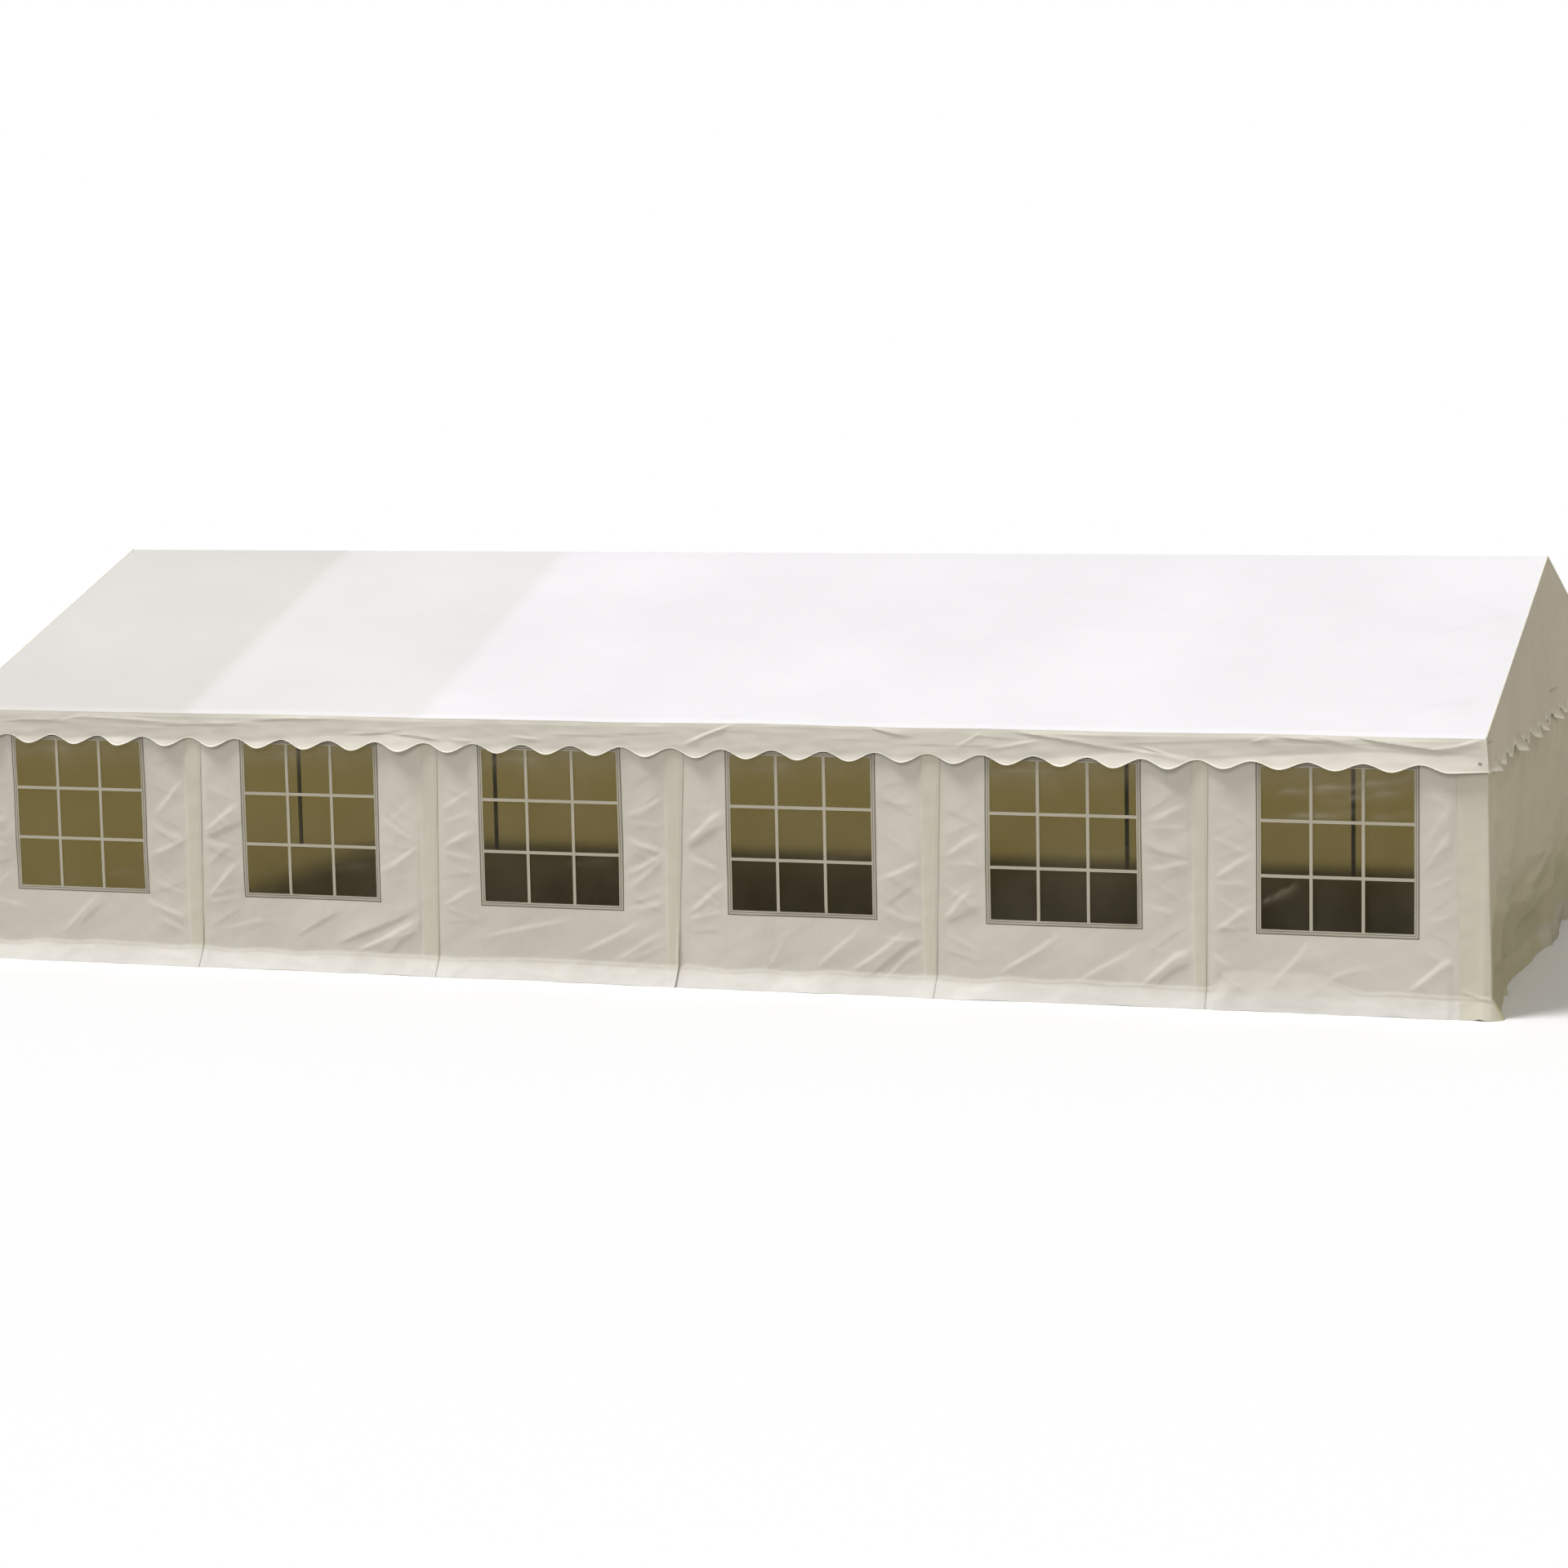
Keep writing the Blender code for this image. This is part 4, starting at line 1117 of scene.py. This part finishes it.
class MARQUEE_OT_stage(bpy.types.Operator):
    """Set up the floor, the light and the camera"""
    bl_idname = "marquee.stage"
    bl_label = "Floor, light and camera"

    def execute(self, context):
        values = context.scene.tent_stage
        self.floor(values)
        self.light(context, values)
        self.camera(context, values)
        return {"FINISHED"}

    def floor(self, values):
        """A wide round floor that turns to plain white far from the tent."""
        angle = 2 * math.pi * np.arange(64) / 64
        rim = np.stack([400 * np.cos(angle), 400 * np.sin(angle), np.zeros(64)], axis=1)
        mesh = bpy.data.meshes.new("studio_floor")
        mesh.from_pydata(rim.tolist(), [], [list(range(64))])
        floor = bpy.data.objects.new("studio_floor", mesh)
        bpy.context.scene.collection.objects.link(floor)
        material, tree, shader = new_material("pale_floor")
        seen = add_node(tree, "LightPath").outputs["Is Camera Ray"]
        tone = blend_colours(tree, seen, values.bounce_colour, values.floor_colour)
        tree.links.new(tone, shader.inputs["Base Color"])
        shader.inputs["Roughness"].default_value = 0.9
        shader.inputs["Specular IOR Level"].default_value = 0.1
        where = add_node(tree, "TexCoord").outputs["Object"]
        narrowed = add_node(tree, "VectorMath", {"operation": "MULTIPLY"})
        tree.links.new(where, narrowed.inputs[0])
        narrowed.inputs[1].default_value = (0.6, 1.0, 1.0)
        distance = add_node(tree, "VectorMath", {"operation": "LENGTH"})
        tree.links.new(narrowed.outputs[0], distance.inputs[0])
        far = in_range(tree, distance.outputs["Value"], 4.5, 16.0, 0.0, 1.0)
        share = calculate(tree, "MULTIPLY", far, seen)
        white = add_node(tree, "Emission", Color=(1.0, 1.0, 1.0, 1.0), Strength=1.0)
        mixed = tree.nodes.new("ShaderNodeMixShader")
        tree.links.new(share, mixed.inputs[0])
        tree.links.new(shader.outputs["BSDF"], mixed.inputs[1])
        tree.links.new(white.outputs[0], mixed.inputs[2])
        output = next(node for node in tree.nodes if node.type == "OUTPUT_MATERIAL")
        tree.links.new(mixed.outputs[0], output.inputs["Surface"])
        mesh.materials.append(material)

    def light(self, context, values):
        """An even sky, white to the camera and warmer from the right, with a high and a low soft lamp."""
        context.scene.view_settings.view_transform = "Standard"
        world = bpy.data.worlds.new("studio_sky")
        context.scene.world = world
        world.use_nodes = True
        tree = world.node_tree
        tree.nodes.clear()
        towards = add_node(tree, "SeparateXYZ", Vector=add_node(tree, "TexCoord").outputs["Generated"])
        right = in_range(tree, towards.outputs["X"], -0.3, 0.8, 0.0, 1.0)
        colour = blend_colours(tree, right, values.sky_cool, values.sky_warm)
        dim = add_node(tree, "Background", Color=colour, Strength=values.sky_strength)
        white = add_node(tree, "Background", Color=(1.0, 1.0, 1.0, 1.0), Strength=1.0)
        seen = add_node(tree, "LightPath").outputs["Is Camera Ray"]
        mixed = tree.nodes.new("ShaderNodeMixShader")
        output = tree.nodes.new("ShaderNodeOutputWorld")
        tree.links.new(seen, mixed.inputs[0])
        tree.links.new(dim.outputs[0], mixed.inputs[1])
        tree.links.new(white.outputs[0], mixed.inputs[2])
        tree.links.new(mixed.outputs[0], output.inputs["Surface"])
        for name, strength, direction in (
                ("high_lamp", values.sun_strength, values.sun_direction),
                ("front_lamp", values.front_strength, values.front_direction)):
            lamp = bpy.data.lights.new(name, "SUN")
            lamp.energy = strength
            lamp.angle = values.sun_angle
            lamp.color = (1.0, 0.985, 0.96)
            item = bpy.data.objects.new(name, lamp)
            item.rotation_mode = "QUATERNION"
            item.rotation_quaternion = Vector(direction).to_track_quat("Z", "Y")
            context.scene.collection.objects.link(item)

    def camera(self, context, values):
        """The camera, turned by its turn, dip and roll in that order."""
        lens = bpy.data.cameras.new("camera")
        lens.sensor_width = 36.0
        lens.lens = values.camera_lens
        lens.clip_end = 1000.0
        item = bpy.data.objects.new("camera", lens)
        upright = Matrix.Rotation(math.pi / 2, 4, "X")
        turn = Matrix.Rotation(values.camera_turn, 4, "Z")
        dip = Matrix.Rotation(-values.camera_dip, 4, "X")
        roll = Matrix.Rotation(values.camera_roll, 4, "Z")
        item.matrix_world = Matrix.Translation(values.camera_place) @ turn @ upright @ dip @ roll
        context.scene.collection.objects.link(item)
        context.scene.camera = item


class MARQUEE_OT_steel(bpy.types.Operator):
    """Give the tubes of the frame their zinc coat"""
    bl_idname = "marquee.steel"
    bl_label = "Steel frame"

    def execute(self, context):
        values = context.scene.tent_steel
        finish = steel_material("zinc_coated_tube", values.colour, values.roughness)
        for name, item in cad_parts.items():
            if name.startswith(("leg_", "rafter_", "ridge_", "purlin_", "eave_")):
                for slot in item.material_slots:
                    slot.material = finish
        return {"FINISHED"}


class MARQUEE_OT_roof(bpy.types.Operator):
    """Lay the two slopes of the roof over the rafters"""
    bl_idname = "marquee.roof"
    bl_label = "Roof"

    def execute(self, context):
        values = context.scene.tent_cloth
        # Painted shade over the roof's first two bays, darkest over the first.
        painted_bay_shade = ((LEG_X[1], (0.905, 0.895, 0.865)), (LEG_X[2], (0.935, 0.93, 0.90)))
        finish = cloth_material("roof_cloth", values.roof_colour, painted_bay_shade=painted_bay_shade, crinkle=0.22)
        for side, end in ((-1, "front"), (1, "rear")):
            points, pattern, length = roof_surface(side)
            mesh = cloth_mesh(f"roof_cloth_{end}", points, pattern, values.thickness)
            piece = place(mesh, finish, "roof_fabric", (f"roof_{end}",))
        return {"FINISHED"}


class MARQUEE_OT_valances(bpy.types.Operator):
    """Hang the scalloped strips along both eaves, with tape on their edges"""
    bl_idname = "marquee.valances"
    bl_label = "Valances"

    def execute(self, context):
        values = context.scene.tent_cloth
        finish = cloth_material("valance_cloth", values.valance_shaded_colour, crinkle=0.5)
        tape = smooth_plastic("edge_tape", values.binding_colour, 0.5)
        for side, end, steps, rise in ((-1, "front", 726, 27), (1, "rear", 484, 12)):
            columns = grid_lines(LEFT_X, (RIGHT_X, steps))
            rows = np.concatenate([[0.0, 0.018, 0.036], grid_lines(0.07, (1.0, rise))])
            points, pattern = valance_surface(side, values.valance_lean, rows, columns)
            mesh = cloth_mesh(f"valance_cloth_{end}", points, pattern, values.thickness)
            piece = place(mesh, finish, "roof_fabric", (f"valance_{end}",))
            edge = cloth_mesh(
                f"valance_tape_{end}", binding_points(points, 3), pattern[:3], values.thickness + 0.0024)
            binding = place(edge, tape, "roof_fabric")
        return {"FINISHED"}


class MARQUEE_OT_gables(bpy.types.Operator):
    """Hang the flaps that close both ends of the roof"""
    bl_idname = "marquee.gables"
    bl_label = "Gable flaps"

    def execute(self, context):
        values = context.scene.tent_cloth
        finish = cloth_material("gable_cloth", values.gable_shaded_colour, values.binding_colour, crinkle=0.6)
        tape = smooth_plastic("rake_tape", values.binding_colour, 0.5)
        for side, end, steps in ((1, "right", 175), (-1, "left", 80)):
            points, pattern, marks = gable_surface(side, values.valance_lean, steps)
            mesh = cloth_mesh(f"gable_cloth_{end}", points, pattern, values.thickness, marks=marks)
            piece = place(mesh, finish, "roof_fabric", (f"gable_{end}",))
            y = grid_lines(RIDGE_Y - HALF_WIDTH, (RIDGE_Y, 40), (RIDGE_Y + HALF_WIDTH, 40))
            face = RIGHT_X if side > 0 else LEFT_X
            path = np.stack([np.full_like(y, face), y, rake_height(y) - 0.003], axis=1)
            seam = place(tube_mesh(f"rake_seam_{end}", path, 0.0065), tape, "roof_fabric")
        return {"FINISHED"}


class MARQUEE_OT_front_wall(bpy.types.Operator):
    """Hang the six panels of the front wall, each lapping over the next at a leg"""
    bl_idname = "marquee.front_wall"
    bl_label = "Front wall"

    def execute(self, context):
        values = context.scene.tent_cloth
        finish = cloth_material(
            "wall_cloth", values.wall_colour, values.lap_shade_and_hem_light_colour, skirt=values.skirt_light_colour, crinkle=0.8)
        for bay in range(BAYS):
            points, pattern, keep, marks = wall_surface(bay, values)
            mesh = cloth_mesh(f"wall_cloth_{bay + 1}", points, pattern, values.thickness, keep, marks)
            piece = place(mesh, finish, "wall_fabric", (f"wall_panel_{bay + 1}",))
        return {"FINISHED"}


class MARQUEE_OT_windows(bpy.types.Operator):
    """Fill the windows with clear film behind a border, bars and a dark edge line"""
    bl_idname = "marquee.windows"
    bl_label = "Windows"

    def execute(self, context):
        values = context.scene.tent_windows
        film = film_material(values)
        bars = smooth_plastic("window_bar", values.bar_colour, 0.42)
        edge = smooth_plastic("window_edge", values.edge_colour, 0.5)
        for bay in range(BAYS):
            lattice = bar_piece(bay, values, bars)
            line = ring_piece("window_edge", bay, 0.0005, values.edge_width, 0.0, edge)
            seam = ring_piece("window_seam", bay, values.seam_inset, values.seam_width, 0.0010, edge)
            piece = film_piece(bay, values, film)
        return {"FINISHED"}


class MARQUEE_OT_end_wall(bpy.types.Operator):
    """Hang the two halves of the end wall, which turn round the corner legs"""
    bl_idname = "marquee.end_wall"
    bl_label = "End wall"

    def execute(self, context):
        values = context.scene.tent_cloth
        # The end wall's colour is painted shade, the grass glow low down is painted light, and the lap colour marks
        # strip and foot.
        finish = cloth_material(
            "end_wall_cloth", values.end_shaded_colour, values.lap_shade_and_hem_light_colour, values.grass_glow_colour, crinkle=0.7)
        for side, end in ((-1, "front"), (1, "rear")):
            points, pattern, marks = end_wall_surface(side, values)
            mesh = cloth_mesh(f"end_wall_cloth_{end}", points, pattern, values.thickness, marks=marks)
            piece = place(mesh, finish, "wall_fabric", (f"end_wall_{end}",))
        return {"FINISHED"}


class MARQUEE_OT_eyelets(bpy.types.Operator):
    """Set the small metal eyelets into the corners of the roof cover"""
    bl_idname = "marquee.eyelets"
    bl_label = "Eyelets"

    def execute(self, context):
        finish = steel_material("eyelet_metal", (0.16, 0.14, 0.11), 0.4)
        lean = context.scene.tent_cloth.valance_lean
        for side, end in ((-1, "front"), (1, "rear")):
            for where, corner in ((LEG_X[0], "left"), (LEG_X[-1], "right")):
                column = np.array([where])
                points, _ = valance_surface(side, lean, np.array([0.22, 0.25, 0.28]), np.repeat(column, 2))
                centre = points[1, 0] + np.array([0.0, side * 0.001, 0.0])
                mesh = ring_mesh(f"eyelet_{end}_{corner}", centre, (0.0, side, 0.0), 0.009, 0.0028)
                place(mesh, finish, "steel_tube")
        return {"FINISHED"}


class MARQUEE_PT_panel(bpy.types.Panel):
    """The steps that dress the marquee tent, in order"""
    bl_idname = "MARQUEE_PT_panel"
    bl_label = "Marquee tent"
    bl_space_type = "VIEW_3D"
    bl_region_type = "UI"
    bl_category = "Marquee"

    def draw(self, context):
        for step in STEPS:
            self.layout.operator(step.bl_idname)
        for group in GROUPS:
            values = getattr(context.scene, group)
            box = self.layout.box()
            for name in values.__annotations__:
                box.prop(values, name)


GROUPS = {
    "tent_cloth": TentCloth,
    "tent_windows": TentWindows,
    "tent_steel": TentSteel,
    "tent_stage": TentStage,
}
STEPS = (
    MARQUEE_OT_stage,
    MARQUEE_OT_steel,
    MARQUEE_OT_roof,
    MARQUEE_OT_valances,
    MARQUEE_OT_gables,
    MARQUEE_OT_front_wall,
    MARQUEE_OT_windows,
    MARQUEE_OT_end_wall,
    MARQUEE_OT_eyelets,
)


def register():
    for item in (*GROUPS.values(), *STEPS, MARQUEE_PT_panel):
        bpy.utils.register_class(item)
    for name, group in GROUPS.items():
        setattr(bpy.types.Scene, name, PointerProperty(type=group))


def unregister():
    for name in GROUPS:
        delattr(bpy.types.Scene, name)
    for item in reversed((*GROUPS.values(), *STEPS, MARQUEE_PT_panel)):
        bpy.utils.unregister_class(item)


def main():
    register()
    for step in STEPS:
        getattr(bpy.ops.marquee, step.bl_idname.split(".")[1])()
    bpy.context.view_layer.update()


if __name__ == "__main__":
    main()
